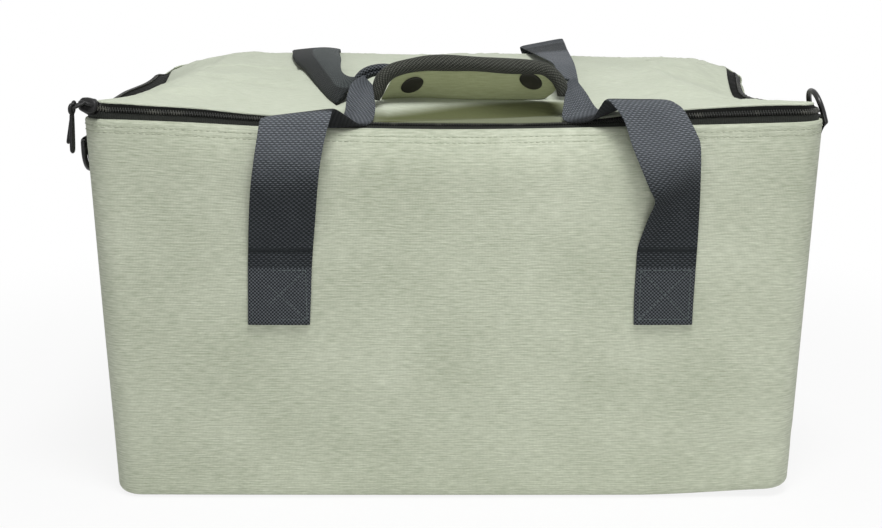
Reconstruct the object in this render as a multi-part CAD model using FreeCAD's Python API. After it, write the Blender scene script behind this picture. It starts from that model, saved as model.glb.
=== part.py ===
"""Padded zip-top carry bag: soft walls, a hinged lid, two webbing handles and two D-rings.

Millimetres. The origin is the middle of the underside, +Z is up, the front faces -Y and
+X is to the right as seen from the front. Each piece is one node, written to parts/.
"""
import FreeCAD, Part
import math
import os

V = FreeCAD.Vector

# Driving dimensions of the bag's outer form
TOP_WIDTH, TOP_DEPTH = 460.0, 262.0
BASE_WIDTH, BASE_DEPTH = 451.0, 240.0
WALL_HEIGHT = 252.0
CORNER_RADIUS = 18.0
BELLY = 4.0               # how far the front and back bow out at mid height
RIM_BOW = 0.8             # the same, at the rim and at the base

# Layers of a padded wall, from the outside in
FABRIC = 1.2
PAD = 6.0
LINING = 0.8
LAYER_GAP = 0.15
BOARD = 3.0
BASE_PAD = 6.0

# Zip band: it starts inside the rim and leans inwards
BAND_SLOPE = math.radians(55)
BAND_INSET = 1.3
BAND_RADIUS = 14.0
BAND_LENGTH = 12.0
LOWER_TAPE = (0.2, 4.6)   # stretches along the slope of the band
LOWER_TEETH = (4.6, 6.4)
UPPER_TEETH = (7.6, 9.5)
UPPER_TAPE = (9.5, BAND_LENGTH)
TAPE_SKIN = (-0.5, 0.4)   # across the band, outwards
TEETH_SKIN = (-0.7, 1.7)
ZIP_BACK_END = 104.0

# Lid
LID_CROWN = 10.0
LID_EDGE = 1.2            # height of the lid's edge above the band
LID_PAD_INSET = 3.0
HINGE_Y, HINGE_Z = 126.0, WALL_HEIGHT + 4.0
PIPING_RADIUS = 3.2
HINGE_LENGTH = 410.0

# Webbing
WEB_WIDTH, WEB = 39.0, 1.6
BASE_STITCH_LOW, BASE_STITCH_HIGH = 131.0, 167.0
STRAP_TOP = WALL_HEIGHT + 1.5
FRONT_SWING_Y = -TOP_DEPTH / 2 - 2.3
BACK_SWING_Y = TOP_DEPTH / 2 + 2.3

# Grip
CORE_RADIUS = 3.6
WRAP_IN, WRAP_OUT = 4.0, 5.6
FRONT_GRIP_Y, BACK_GRIP_Y = -97.0, -72.0
WRAP_ENDS = 19.5          # height over the rim where the wrap leaves the core bare
FLAP_Y = FRONT_GRIP_Y + WRAP_OUT + 0.5
FLAP_LENGTH, FLAP_TOP, FLAP_LEAN = 16.0, 29.5, math.radians(36)
FLAP_ENDS = (-41.0, 58.0)
FLAP_SKIN = 1.2
SNAP_RADIUS, SNAP_HEIGHT = 7.0, 1.6
SNAP_X = (-27.0, 48.0)

# D-rings
RING_WIDTH, RING_HEIGHT, RING_BAR = 33.0, 22.0, 1.75
RING_Y = -94.0
LEFT_BAR = (-233.6, 236.0)
RIGHT_BAR = (233.6, 249.0)
RIGHT_LEAN = math.radians(17)
TAB_WIDTH, TAB, TAB_REACH = 24.0, 1.6, 13.0

# Sliders and pulls
SLIDER_LENGTH, SLIDER_SPAN = 10.0, (3.4, 10.8)
SLIDER_PLATE, BAIL_TOP = (2.1, 3.1), 5.6
SLIT = (LOWER_TEETH[1] + UPPER_TEETH[0]) / 2
FRONT_SLIDER_X = -217.0
SIDE_SLIDER_Y = -112.5
PULL_LENGTH, PULL_WIDTH, PULL_THICK, EYE_WIDTH = 29.0, 5.2, 1.8, 3.4
PIN_RADIUS, LINK_HALF, LINK_WIRE = 0.9, 2.8, 1.2
FRONT_PULL = V(-231.4, -137.6, WALL_HEIGHT + 8.5)
SIDE_PULL = V(-236.8, -114.8, WALL_HEIGHT + 7.5)
SIDE_LEAN = 12.0          # degrees that the side pull leans out of plumb

FAR = 600.0
os.makedirs("parts", exist_ok=True)


def save(name, shape):
    """Write one node, a solid or a group of separate solids."""
    shape.exportStep("parts/" + name + ".step")


def between(base, rim, z):
    """The straight line between a base value and a rim value, at a height."""
    return base + (rim - base) * z / WALL_HEIGHT


def half_width(z):
    return between(BASE_WIDTH, TOP_WIDTH, z) / 2


def half_depth(z):
    return between(BASE_DEPTH, TOP_DEPTH, z) / 2


def arc(a, b, c):
    return Part.Arc(a, b, c).toShape()


def outline(hw, hd, radius, z, bow=0.0):
    """A closed wire: a rectangle with round corners whose long sides bow out."""
    cx, cy, k = hw - radius, hd - radius, radius * math.sqrt(0.5)

    def corner(sx, sy):
        ends = [V(sx * cx, sy * hd, z), V(sx * hw, sy * cy, z)]
        if sx * sy > 0:
            ends.reverse()
        return arc(ends[0], V(sx * (cx + k), sy * (cy + k), z), ends[1])

    return Part.Wire([
        long_side(-cx, cx, -hd, z, -bow), corner(1, -1),
        Part.makeLine(V(hw, -cy, z), V(hw, cy, z)), corner(1, 1),
        long_side(cx, -cx, hd, z, bow), corner(-1, 1),
        Part.makeLine(V(-hw, cy, z), V(-hw, -cy, z)), corner(-1, -1)])


def long_side(x0, x1, y, z, bow):
    """A front or back edge, as an arc or, with no bow, as a line."""
    start, end = V(x0, y, z), V(x1, y, z)
    return arc(start, V(0, y + bow, z), end) if bow else Part.makeLine(start, end)


def body_form(inset):
    """The bag's outer form, shrunk by an inset, a little taller than the bag both ways."""
    wires = []
    for z, bow in ((-8.0, RIM_BOW), (WALL_HEIGHT / 2, BELLY), (WALL_HEIGHT + 8, RIM_BOW)):
        radius = CORNER_RADIUS - inset
        wires.append(outline(half_width(z) - inset, half_depth(z) - inset, radius, z, bow))
    return Part.makeLoft(wires, True, False)


def slab(low, high):
    """Everything between two heights."""
    return Part.makeBox(2 * FAR, 2 * FAR, high - low, V(-FAR, -FAR, low))


def box(x, y, z):
    """A box from three (low, high) pairs."""
    return Part.makeBox(x[1] - x[0], y[1] - y[0], z[1] - z[0], V(x[0], y[0], z[0]))


def wall_ring(outer, inner, low, high):
    """A layer of the four walls, between two insets and two heights."""
    return body_form(outer).cut(body_form(inner)).common(slab(low, high))


def end_prism(side, inset):
    """The space in front of (side -1) or behind (side 1) a plane that leans with the wall."""
    points = [V(-FAR, side * (half_depth(z) - inset), z) for z in (-20.0, WALL_HEIGHT + 20)]
    points += [V(-FAR, side * FAR, WALL_HEIGHT + 20), V(-FAR, side * FAR, -20.0)]
    return Part.Face(Part.makePolygon(points + points[:1])).extrude(V(2 * FAR, 0, 0))


def split_ring(ring, inset):
    """A wall layer as its front, back, left side and right side."""
    front, back = end_prism(-1, inset), end_prism(1, inset)
    middle = ring.cut(front).cut(back)
    left = middle.common(box((-FAR, 0), (-FAR, FAR), (-FAR, FAR)))
    right = middle.common(box((0, FAR), (-FAR, FAR), (-FAR, FAR)))
    return ring.common(front), ring.common(back), left, right


def walls():
    """Outer fabric, foam pads, lining and the base layers."""
    sides = ("front", "back", "left_side", "right_side")
    seam = CORNER_RADIUS + 1
    outer = wall_ring(0, FABRIC, FABRIC, WALL_HEIGHT)
    for name, piece in zip(sides, split_ring(outer, seam)):
        save(name + "_panel", piece)
    save("bottom_panel", body_form(0).common(slab(0, FABRIC)))

    board_low = FABRIC + LAYER_GAP
    pad_low = board_low + BOARD + LAYER_GAP
    lining_low = pad_low + BASE_PAD + LAYER_GAP
    inside = body_form(FABRIC + LAYER_GAP)
    save("base_board", inside.common(slab(board_low, board_low + BOARD)))
    save("base_foam", inside.common(slab(pad_low, pad_low + BASE_PAD)))

    pad_out = FABRIC + LAYER_GAP
    pad_in = pad_out + PAD
    pads = wall_ring(pad_out, pad_in, lining_low, WALL_HEIGHT - 8)
    flat_x, flat_y = BASE_WIDTH / 2 - CORNER_RADIUS, BASE_DEPTH / 2 - CORNER_RADIUS
    tall = (-FAR, FAR)
    save("front_foam", pads.common(box((-flat_x, flat_x), (-FAR, 0), tall)))
    save("back_foam", pads.common(box((-flat_x, flat_x), (0, FAR), tall)))
    save("left_side_foam", pads.common(box((-FAR, 0), (-flat_y, flat_y), tall)))
    save("right_side_foam", pads.common(box((0, FAR), (-flat_y, flat_y), tall)))

    lining_out = pad_in + LAYER_GAP
    lining_in = lining_out + LINING
    ring = wall_ring(lining_out, lining_in, lining_low + LINING, WALL_HEIGHT - 1)
    for name, piece in zip(sides, split_ring(ring, seam)):
        save(name + "_lining", piece)
    floor = body_form(lining_out).common(slab(lining_low, lining_low + LINING))
    save("base_lining", floor)
    save("rim_seam", wall_ring(pad_out, pad_in, WALL_HEIGHT - 7.8, WALL_HEIGHT - 1))


def band_point(s, n):
    """Inset from the outer form and height, s up the zip band and n out of it."""
    inset = BAND_INSET + s * math.cos(BAND_SLOPE) - n * math.sin(BAND_SLOPE)
    return inset, WALL_HEIGHT + s * math.sin(BAND_SLOPE) + n * math.cos(BAND_SLOPE)


def band_outline(s, n):
    inset, z = band_point(s, n)
    hw, hd = TOP_WIDTH / 2 - inset, TOP_DEPTH / 2 - inset
    return outline(hw, hd, BAND_RADIUS - inset, z)


def band_form(n):
    """The solid inside the band's slanted surface, n out of it."""
    return Part.makeLoft([band_outline(-4, n), band_outline(BAND_LENGTH + 4, n)], True, True)


def band_ring(stretch, skin):
    """A strip of the zip band along the front and both sides."""
    low, high = (band_point(s, 0)[1] for s in stretch)
    ring = band_form(skin[1]).cut(band_form(skin[0])).common(slab(low, high))
    return ring.cut(box((-FAR, FAR), (ZIP_BACK_END, FAR), (-FAR, FAR)))


def zip_bands():
    save("zip_lower_tape", band_ring(LOWER_TAPE, TAPE_SKIN))
    save("zip_lower_teeth", band_ring(LOWER_TEETH, TEETH_SKIN))
    save("zip_upper_teeth", band_ring(UPPER_TEETH, TEETH_SKIN))
    save("zip_upper_tape", band_ring(UPPER_TAPE, TAPE_SKIN))
    for side, name in ((-1, "left"), (1, "right")):
        edge = side * (TOP_WIDTH / 2 - 3.5)
        stop = box(sorted((edge - 2.5, edge + 2.5)), (ZIP_BACK_END + 0.4, ZIP_BACK_END + 7),
                   (WALL_HEIGHT, WALL_HEIGHT + 4.5))
        save("zip_end_stop_" + name, stop)


def lid_section(y, edge, crown, half):
    """The lid's cross section at one y: flat below, with a crowned top and soft shoulders."""
    low = WALL_HEIGHT - 10
    rise = ((0.0, 0.0), (0.08, 0.38), (0.17, 0.72), (0.32, 0.94), (0.62, 1.0))
    left = [V(half * (u - 1), y, edge + crown * k) for u, k in rise]
    right = [V(-p.x, p.y, p.z) for p in reversed(left)]
    top = Part.BSplineCurve()
    top.interpolate(left + [V(0, y, edge + crown)] + right)
    corners = [V(half, y, edge), V(half, y, low), V(-half, y, low), V(-half, y, edge)]
    return Part.Wire([top.toShape()] + Part.makePolygon(corners).Edges)


def lid_form(drop):
    """The lid's crowned form, its top lowered by a drop; low at the front, full at the back."""
    inset, edge = band_point(BAND_LENGTH, 0)
    half, end = TOP_WIDTH / 2 - inset, TOP_DEPTH / 2 - inset
    edge += LID_EDGE
    profile = ((-1.0, 0.02), (-0.8, 0.1), (-0.45, 0.38), (0.0, 0.8), (0.4, 1.0),
               (0.75, 0.98), (0.92, 0.6), (1.0, 0.02))
    wires = [lid_section(end * v, edge, LID_CROWN * k, half) for v, k in profile]
    form = Part.makeLoft(wires, True, False)
    form.translate(V(0, 0, -drop))
    return form


def lid_prism(inset):
    base, low = band_point(BAND_LENGTH, 0)[0] + inset, WALL_HEIGHT - 5
    hw, hd = TOP_WIDTH / 2 - base, TOP_DEPTH / 2 - base
    wire = outline(hw, hd, max(BAND_RADIUS - base, 2.0), low)
    return Part.Face(wire).extrude(V(0, 0, 60))


def lid():
    """Three crowned layers and the fabric hinge along the back."""
    band_top = band_point(BAND_LENGTH, 0)[1]
    cover = lid_form(0).cut(lid_form(FABRIC)).common(lid_prism(0.1))
    save("lid_panel", cover.common(slab(band_top + 0.05, WALL_HEIGHT + 60)))
    inner = lid_prism(LID_PAD_INSET)
    top = FABRIC + LAYER_GAP
    save("lid_foam", lid_form(top).cut(lid_form(top + PAD)).common(inner))
    top += PAD + LAYER_GAP
    save("lid_lining", lid_form(top).cut(lid_form(top + LINING)).common(inner))
    save("lid_hinge_fabric", hinge_fabric(band_top))
    save("hinge_piping", hinge_piping())


def hinge_point(radius, angle):
    turn = math.radians(angle)
    return V(-HINGE_LENGTH / 2, HINGE_Y + radius * math.cos(turn), HINGE_Z + radius * math.sin(turn))


def hinge_fabric(band_top):
    """A strip that leaves the lid's back edge and wraps over the piping."""
    inner, outer = PIPING_RADIUS + 0.35, PIPING_RADIUS + 0.35 + FABRIC
    front = TOP_DEPTH / 2 - band_point(BAND_LENGTH, 0)[0] - LID_PAD_INSET + 0.4
    a, b = hinge_point(inner, 40), hinge_point(inner, 120)
    c, d = V(a.x, front, band_top - FABRIC), V(a.x, front, band_top)
    e, f = hinge_point(outer, 120), hinge_point(outer, 40)
    edges = [arc(a, hinge_point(inner, 80), b)] + Part.makePolygon([b, c, d, e]).Edges
    edges += [arc(e, hinge_point(outer, 80), f), Part.makeLine(f, a)]
    return Part.Face(Part.Wire(edges)).extrude(V(HINGE_LENGTH, 0, 0))


def hinge_piping():
    """The round sewn fold on the hinge axis, on a thin foot that stands on the rim."""
    round_fold = Part.makeCylinder(PIPING_RADIUS, HINGE_LENGTH, hinge_point(0, 0), V(1, 0, 0))
    half = HINGE_LENGTH / 2
    foot = box((-half, half), (HINGE_Y - 0.5, HINGE_Y + 0.5), (WALL_HEIGHT - 0.9, HINGE_Z))
    return round_fold.fuse(foot)


def solid_from(points, quads):
    """A closed solid from corner points and four-cornered faces, each cut in two triangles."""
    faces = []
    for a, b, c, d in quads:
        for corner in ((a, b, c), (a, c, d)):
            ring = [points[i] for i in corner]
            faces.append(Part.Face(Part.makePolygon(ring + ring[:1])))
    solid = Part.Solid(Part.Shell(faces))
    if solid.Volume < 0:
        solid.reverse()
    return solid


def strip(stations, thick=WEB):
    """Flat webbing through stations of (centre, width direction, width)."""
    points = []
    for i, (centre, across, width) in enumerate(stations):
        before, after = stations[max(i - 1, 0)][0], stations[min(i + 1, len(stations) - 1)][0]
        across = V(across).normalize() * (width / 2)
        normal = (after - before).cross(across).normalize() * (thick / 2)
        points += [centre - across - normal, centre + across - normal,
                   centre + across + normal, centre - across + normal]
    quads = [(0, 1, 2, 3)]
    for i in range(len(stations) - 1):
        k = 4 * i
        quads += [(k + j, k + 4 + j, k + 4 + (j + 1) % 4, k + (j + 1) % 4) for j in range(4)]
    k = 4 * (len(stations) - 1)
    quads.append((k + 3, k + 2, k + 1, k))
    return solid_from(points, quads)


def tube(path, radius):
    """A round bar lofted through circles square to the path."""
    wires = []
    for i, centre in enumerate(path):
        along = path[min(i + 1, len(path) - 1)] - path[max(i - 1, 0)]
        wires.append(Part.Wire(Part.makeCircle(radius, centre, along)))
    return Part.makeLoft(wires, True, False)


def strap_end(side, foot_x, top_x):
    """A sewn handle end: flat on the bowed wall, then up to the rim with a lean."""
    stations = []
    for z in (BASE_STITCH_LOW, BASE_STITCH_HIGH, 212.0, STRAP_TOP):
        lean = max(z - BASE_STITCH_HIGH, 0) / (STRAP_TOP - BASE_STITCH_HIGH)
        x = foot_x + (top_x - foot_x) * lean
        height = min(z, WALL_HEIGHT)
        bow = RIM_BOW + (BELLY - RIM_BOW) * (1 - (2 * height / WALL_HEIGHT - 1) ** 2)
        straight = half_width(height) - CORNER_RADIUS
        y = half_depth(height) + bow * (1 - (x / straight) ** 2) + WEB / 2 + 0.4
        slope = -2 * bow * x / straight ** 2
        stations.append((V(x, side * y, z), V(1, side * slope, 0), WEB_WIDTH))
    return strip(stations)


def strap_run(points):
    """A loose handle run through (x, y, height over the rim, across, width) stations."""
    stations = []
    for x, y, h, across, width in points:
        stations.append((V(x, y, WALL_HEIGHT + h), V(*across), width))
    return strip(stations)


def handles():
    """Four sewn ends, four loose runs and the two folded grip cores."""
    save("front_strap_end_left", strap_end(-1, -112.0, -99.0))
    save("front_strap_end_right", strap_end(-1, 134.5, 117.0))
    save("back_strap_end_left", strap_end(1, -112.0, -108.0))
    save("back_strap_end_right", strap_end(1, 120.0, 104.0))

    front, back = FRONT_SWING_Y, BACK_SWING_Y
    save("front_handle_run_left", strap_run((
        (-98.5, front, 2.1, (1, 0, 0), WEB_WIDTH), (-95, -126, 14, (1, 0, 0), WEB_WIDTH),
        (-78, -113, 18.5, (0.8, 0.5, 0.2), 32.0), (-67, -103, 18, (0.5, 0.7, 0.4), 18.0),
        (-53.5, -97, 14.5, (0.2, 1, 0), 8.0))))
    save("front_handle_run_right", strap_run((
        (116.5, front, 2.1, (1, 0, 0), WEB_WIDTH), (113, -127, 15, (1, 0, 0), WEB_WIDTH),
        (96, -113, 19.5, (0.8, -0.5, -0.2), 32.0), (83, -103, 18, (0.5, -0.7, -0.4), 18.0),
        (70.5, -97, 14.5, (0.2, -1, 0), 8.0))))
    save("back_handle_run_left", strap_run((
        (-108, back, 2.1, (1, 0, 0), WEB_WIDTH), (-107, 130, 20, (1, 0, 0), WEB_WIDTH),
        (-103, 116, 25.5, (1, -0.1, 0), WEB_WIDTH), (-93, 60, 30, (1, -0.3, -0.25), WEB_WIDTH),
        (-79, 0, 30, (0.8, -0.3, -0.4), 32.0), (-64, -48, 27.5, (0.7, 0.2, -0.3), 20.0),
        (-48, -72, 24.5, (0.2, 1, 0), 8.0))))
    save("back_handle_run_right", strap_run((
        (103.5, back, 2.1, (1, 0, 0), WEB_WIDTH), (96, 130, 22, (1, 0, 0.25), WEB_WIDTH),
        (90, 116, 28, (1, 0.1, 0.25), WEB_WIDTH), (85, 60, 32, (1, 0.2, 0.3), 36.0),
        (80, 0, 31, (0.8, 0.3, 0.4), 30.0), (76, -48, 27.5, (0.7, -0.2, 0.3), 20.0),
        (65.5, -72, 24, (0.2, -1, 0), 8.0))))


def grip_path(y, ends=()):
    """The arched line of a grip, highest left of the middle, with points added at its ends."""
    points = [(-46, 28), (-37, 33.5), (-11, 36), (22, 34.5), (52, 32), (63, 27)]
    points = list(ends[:1]) + points + list(ends[1:])
    return [V(x, y, WALL_HEIGHT + h) for x, h in points]


def flap_frame():
    """The flap's top seam, the way down it and the way out of its back face."""
    top = V(0, FLAP_Y, WALL_HEIGHT + FLAP_TOP)
    down = V(0, math.sin(FLAP_LEAN), -math.cos(FLAP_LEAN))
    return top, down, V(0, math.cos(FLAP_LEAN), math.sin(FLAP_LEAN))


def flap_slab(low, high):
    """A plate that leans back behind the grip, between two depths behind its front face."""
    top, down, back = flap_frame()
    foot = top + down * FLAP_LENGTH
    corners = [top + back * low, foot + back * low, foot + back * high, top + back * high]
    corners = [c + V(FLAP_ENDS[0], 0, 0) for c in corners]
    face = Part.Face(Part.makePolygon(corners + corners[:1]))
    return face.extrude(V(FLAP_ENDS[1] - FLAP_ENDS[0], 0, 0))


def snaps(depth):
    """The two press-stud halves that stand on the flap at one depth behind its front face."""
    top, down, back = flap_frame()
    middle = top + down * (FLAP_LENGTH / 2 + 0.6) + back * depth
    return Part.makeCompound([Part.makeCylinder(SNAP_RADIUS, SNAP_HEIGHT, middle + V(x, 0, 0), back)
                              for x in SNAP_X])


def grip():
    """Grip cores, the wrap rolled over the front core, and its open flap with press studs."""
    path = grip_path(FRONT_GRIP_Y, ((-51, 17.5), (68, 17.5)))
    save("front_grip_core", tube(path, CORE_RADIUS))
    save("back_grip_core", tube(grip_path(BACK_GRIP_Y), CORE_RADIUS))
    roll = tube(path, WRAP_OUT).cut(tube(path, WRAP_IN))
    save("grip_wrap", roll.common(slab(WALL_HEIGHT + WRAP_ENDS, FAR)))
    save("flap_lining", flap_slab(0, FLAP_SKIN))
    save("flap_cover", flap_slab(FLAP_SKIN, 2 * FLAP_SKIN))
    save("snap_sockets", snaps(-SNAP_HEIGHT))
    save("snap_caps", snaps(2 * FLAP_SKIN))


def d_ring():
    """A D-ring lying in the YZ plane, its straight bar on the Y axis and its bow upwards."""
    half, rise, r = RING_WIDTH / 2 - RING_BAR, RING_HEIGHT - 2 * RING_BAR, RING_BAR
    k = math.sqrt(0.5)
    bend = min(half, rise) - 1.0
    corner = [V(0, half, 0), V(0, half, rise - bend),
              V(0, half - bend * (1 - k), rise - bend * (1 - k)), V(0, half - bend, rise)]
    mirror = [V(0, -p.y, p.z) for p in corner]
    path = Part.Wire([
        Part.makeLine(corner[0], corner[1]), arc(*corner[1:]),
        Part.makeLine(corner[3], mirror[3]), arc(mirror[3], mirror[2], mirror[1]),
        Part.makeLine(mirror[1], mirror[0])])
    ring = path.makePipeShell([Part.Wire(Part.makeCircle(r, corner[0], V(0, 0, 1)))], True, True)
    bar = Part.makeCylinder(r, 2 * half, V(0, -half, 0), V(0, 1, 0))
    ends = [Part.makeSphere(r, V(0, s * half, 0)) for s in (-1, 1)]
    return ring.multiFuse([bar] + ends).removeSplitter()


def d_rings():
    """The left ring hangs; the right one is flipped up and leans in over the rim."""
    left = d_ring()
    left.rotate(V(0, 0, 0), V(1, 0, 0), 180)
    left.translate(V(LEFT_BAR[0], RING_Y, LEFT_BAR[1]))
    save("left_d_ring", left)
    right = d_ring()
    right.rotate(V(0, 0, 0), V(0, 1, 0), -math.degrees(RIGHT_LEAN))
    right.translate(V(RIGHT_BAR[0], RING_Y, RIGHT_BAR[1]))
    save("right_d_ring", right)
    save("left_d_ring_tab", ring_tab(-1, LEFT_BAR, -1))
    save("right_d_ring_tab", ring_tab(1, RIGHT_BAR, 1))


def ring_tab(side, bar, way):
    """A webbing loop round a ring's bar (way -1: bar below the stitching, 1: above)."""
    inner, outer = RING_BAR + 0.3, RING_BAR + 0.3 + TAB
    wall = side * (half_width(WALL_HEIGHT) + 0.3) - bar[0]
    loop = Part.makeCylinder(outer, TAB_WIDTH, V(0, 0, 0), V(0, 1, 0))
    tail = box(sorted((wall, wall + side * TAB)), (0, TAB_WIDTH), sorted((-way * TAB_REACH, 0)))
    tab = loop.fuse(tail).cut(Part.makeCylinder(inner, TAB_WIDTH, V(0, 0, 0), V(0, 1, 0)))
    tab.translate(V(bar[0], RING_Y - TAB_WIDTH / 2, bar[1]))
    return tab


def slider():
    """A slider in the band's own frame: length on X, up the band on Y, out of it on Z.

    An outer plate, a level post through the slit between the two rows of teeth, an inner
    plate behind the upper row only, a wing over the upper tape, and a bail on top.
    """
    half = SLIDER_LENGTH / 2
    low, high = SLIDER_SPAN
    plate = box((-half, half), (low, high), SLIDER_PLATE)
    post = box((-1.5, 1.5), (SLIT - 0.3, SLIT + 0.3), (-1.6, 2.8))
    post.rotate(V(0, SLIT, 0), V(1, 0, 0), 90 - math.degrees(BAND_SLOPE))
    inner = box((-1.0, half - 1), (SLIT + 0.6, high), (-1.9, -1.1))
    wing = box((-half, half), (UPPER_TEETH[1] + 0.6, high), (0.8, SLIDER_PLATE[0]))
    bail = box((0.8 - half, half - 0.8), (SLIT - 1, SLIT + 1), (SLIDER_PLATE[1], BAIL_TOP))
    hole = box((2.2 - half, half - 2.2), (SLIT - 2, SLIT + 2), (SLIDER_PLATE[1], BAIL_TOP - 1.2))
    return plate.multiFuse([post, inner, wing, bail]).cut(hole).removeSplitter()


def on_band(shape, u, run):
    """Put a slider on the front run, where u is x, or on the left run, where u is y."""
    c, s = math.cos(BAND_SLOPE), math.sin(BAND_SLOPE)
    if run == "front":
        rows = (1, 0, 0, u, 0, c, -s, BAND_INSET - TOP_DEPTH / 2, 0, s, c, WALL_HEIGHT)
    else:
        rows = (0, c, -s, BAND_INSET - TOP_WIDTH / 2, -1, 0, 0, u, 0, s, c, WALL_HEIGHT)
    shape.Placement = FreeCAD.Placement(FreeCAD.Matrix(*rows, 0, 0, 0, 1))
    return shape


def with_link(body, bail, end):
    """A slider with its wire link: two arms between a pin through the bail and the pull's pin."""
    near = V(bail.x, end.y, bail.z)
    arms = []
    for y in (-LINK_HALF, LINK_HALF):
        side = V(0, y, 0)
        arms.append(strip([(near + side, V(0, 1, 0), LINK_WIRE),
                           (end + side, V(0, 1, 0), LINK_WIRE)], LINK_WIRE))
    reach = LINK_HALF + LINK_WIRE / 2
    low, high = end.y - reach, max(end.y + reach, bail.y + 0.6)
    pins = [Part.makeCylinder(PIN_RADIUS, high - low, V(near.x, low, near.z), V(0, 1, 0)),
            Part.makeCylinder(PIN_RADIUS, 2 * reach, V(end.x, low, end.z), V(0, 1, 0))]
    return body.multiFuse(arms + pins)


def is_tip_edge(edge):
    """True for the two short edges across the thickness at a tag's lower end."""
    ends = [v.Point for v in edge.Vertexes]
    return len(ends) == 2 and all(abs(p.z + PULL_LENGTH) < 1e-6 for p in ends) \
        and abs(ends[0].y - ends[1].y) < 1e-6


def pull(centre, lean):
    """A flat slotted pull, its width along Y, that hangs from the link's pin with a lean."""
    half, eye_half, thin = PULL_WIDTH / 2, EYE_WIDTH / 2, (-PULL_THICK / 2, PULL_THICK / 2)
    eye = Part.makeCylinder(2.6, EYE_WIDTH, V(0, -eye_half, 0), V(0, 1, 0))
    tag = box(thin, (-half, half), (-PULL_LENGTH, -4.2))
    tag = tag.makeFillet(half - 0.3, [e for e in tag.Edges if is_tip_edge(e)])
    neck = box(thin, (-eye_half, eye_half), (-5, 0))
    slot = box((-5, 5), (-1.1, 1.1), (3.5 - PULL_LENGTH, 13 - PULL_LENGTH))
    hole = Part.makeCylinder(PIN_RADIUS + 0.4, 20, V(0, -10, 0), V(0, 1, 0))
    shape = tag.multiFuse([eye, neck]).cut(slot).cut(hole)
    shape.rotate(V(0, 0, 0), V(0, 1, 0), lean)
    shape.translate(centre)
    return shape


def sliders():
    """Two sliders that meet at the front left corner, with their links and pulls."""
    inset, z = band_point(SLIT, BAIL_TOP - 1.8)
    front_bail = V(FRONT_SLIDER_X, inset - TOP_DEPTH / 2, z)
    side_bail = V(inset - TOP_WIDTH / 2, SIDE_SLIDER_Y, z)
    front = on_band(slider(), FRONT_SLIDER_X, "front")
    side = on_band(slider(), SIDE_SLIDER_Y, "left")
    save("front_slider", with_link(front, front_bail, FRONT_PULL))
    save("side_slider", with_link(side, side_bail, SIDE_PULL))
    save("front_pull", pull(FRONT_PULL, 0))
    save("side_pull", pull(SIDE_PULL, SIDE_LEAN))


walls()
zip_bands()
lid()
handles()
grip()
d_rings()
sliders()
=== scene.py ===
"""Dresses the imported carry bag: settled padded cloth, zip, webbing handles, wrap, rings and light.

Shapes are worked out in millimetres in the frame of the part and put into the meshes in metres.
"""
import math
import bpy
import bmesh
import numpy as np
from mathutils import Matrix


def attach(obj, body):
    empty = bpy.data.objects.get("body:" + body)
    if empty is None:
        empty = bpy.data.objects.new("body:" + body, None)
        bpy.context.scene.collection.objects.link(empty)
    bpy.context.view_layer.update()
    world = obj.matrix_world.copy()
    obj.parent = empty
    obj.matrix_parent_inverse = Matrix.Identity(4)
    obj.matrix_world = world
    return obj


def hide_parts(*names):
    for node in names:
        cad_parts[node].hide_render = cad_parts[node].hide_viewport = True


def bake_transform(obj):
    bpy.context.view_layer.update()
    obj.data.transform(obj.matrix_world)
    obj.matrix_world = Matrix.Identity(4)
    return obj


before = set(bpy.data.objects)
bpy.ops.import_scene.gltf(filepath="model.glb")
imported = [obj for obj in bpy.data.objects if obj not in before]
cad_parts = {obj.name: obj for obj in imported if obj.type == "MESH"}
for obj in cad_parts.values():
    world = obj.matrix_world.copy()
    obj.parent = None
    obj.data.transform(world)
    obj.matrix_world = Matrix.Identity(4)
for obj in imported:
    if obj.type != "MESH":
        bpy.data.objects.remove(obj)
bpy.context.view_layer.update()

MM = 0.001
TURN = 2 * math.pi
RIM = 252.0               # height of the walls
HALF_WIDTH = 225.5        # half the width at the floor
HALF_DEPTH = 120.0        # half the depth at the floor
WIDER, DEEPER = 4.5, 11.0     # how much is added to them at the rim
CORNER = 18.0             # plan radius of the upright corners
TUCK = 6.0                # how far the walls round under at the floor
CLOTH = 1.2               # thickness of the outer cloth
FRONT, RIGHT, BACK, LEFT = 0, 2, 4, 6     # sides of the plan outline, in its own parameter
LONG_SIDES = (FRONT, BACK)
STRAIGHT = 212            # half the straight stretch of the long sides, at the rim
CORNER_RUN, LONG_RUN, SHORT_RUN = 28, 412, 212    # cloth lengths of a corner and of the sides


# ---------------------------------------------------------------- numbers and curves

def ease(a, b, x):
    """0 at a, 1 at b and a smooth cubic step between them, whichever of a and b is larger."""
    u = np.clip((np.asarray(x, float) - a) / (b - a), 0, 1)
    return u * u * (3 - 2 * u)


def bend(x, xs, ys):
    """A smooth curve through a table: a cubic between neighbours whose slopes are the chords'
    averages, so it has no corners. ys may be numbers or points."""
    x, xs, ys = np.asarray(x, float), np.asarray(xs, float), np.asarray(ys, float)
    tail = (1,) * (ys.ndim - 1)
    chord = np.diff(ys, axis=0) / np.diff(xs).reshape((-1,) + tail)
    slope = np.concatenate([chord[:1], (chord[1:] + chord[:-1]) / 2, chord[-1:]])
    k = np.clip(np.searchsorted(xs, x) - 1, 0, len(xs) - 2)
    step = (xs[k + 1] - xs[k]).reshape(x.shape + tail)
    u = np.clip((x - xs[k]) / (xs[k + 1] - xs[k]), 0, 1).reshape(x.shape + tail)
    return ((2 * u**3 - 3 * u**2 + 1) * ys[k] + (u**3 - 2 * u**2 + u) * step * slope[k]
            + (3 * u**2 - 2 * u**3) * ys[k + 1] + (u**3 - u**2) * step * slope[k + 1])


def unit(v):
    """Vectors of length one, along the last axis."""
    return v / np.maximum(np.linalg.norm(v, axis=-1, keepdims=True), 1e-9)


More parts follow.
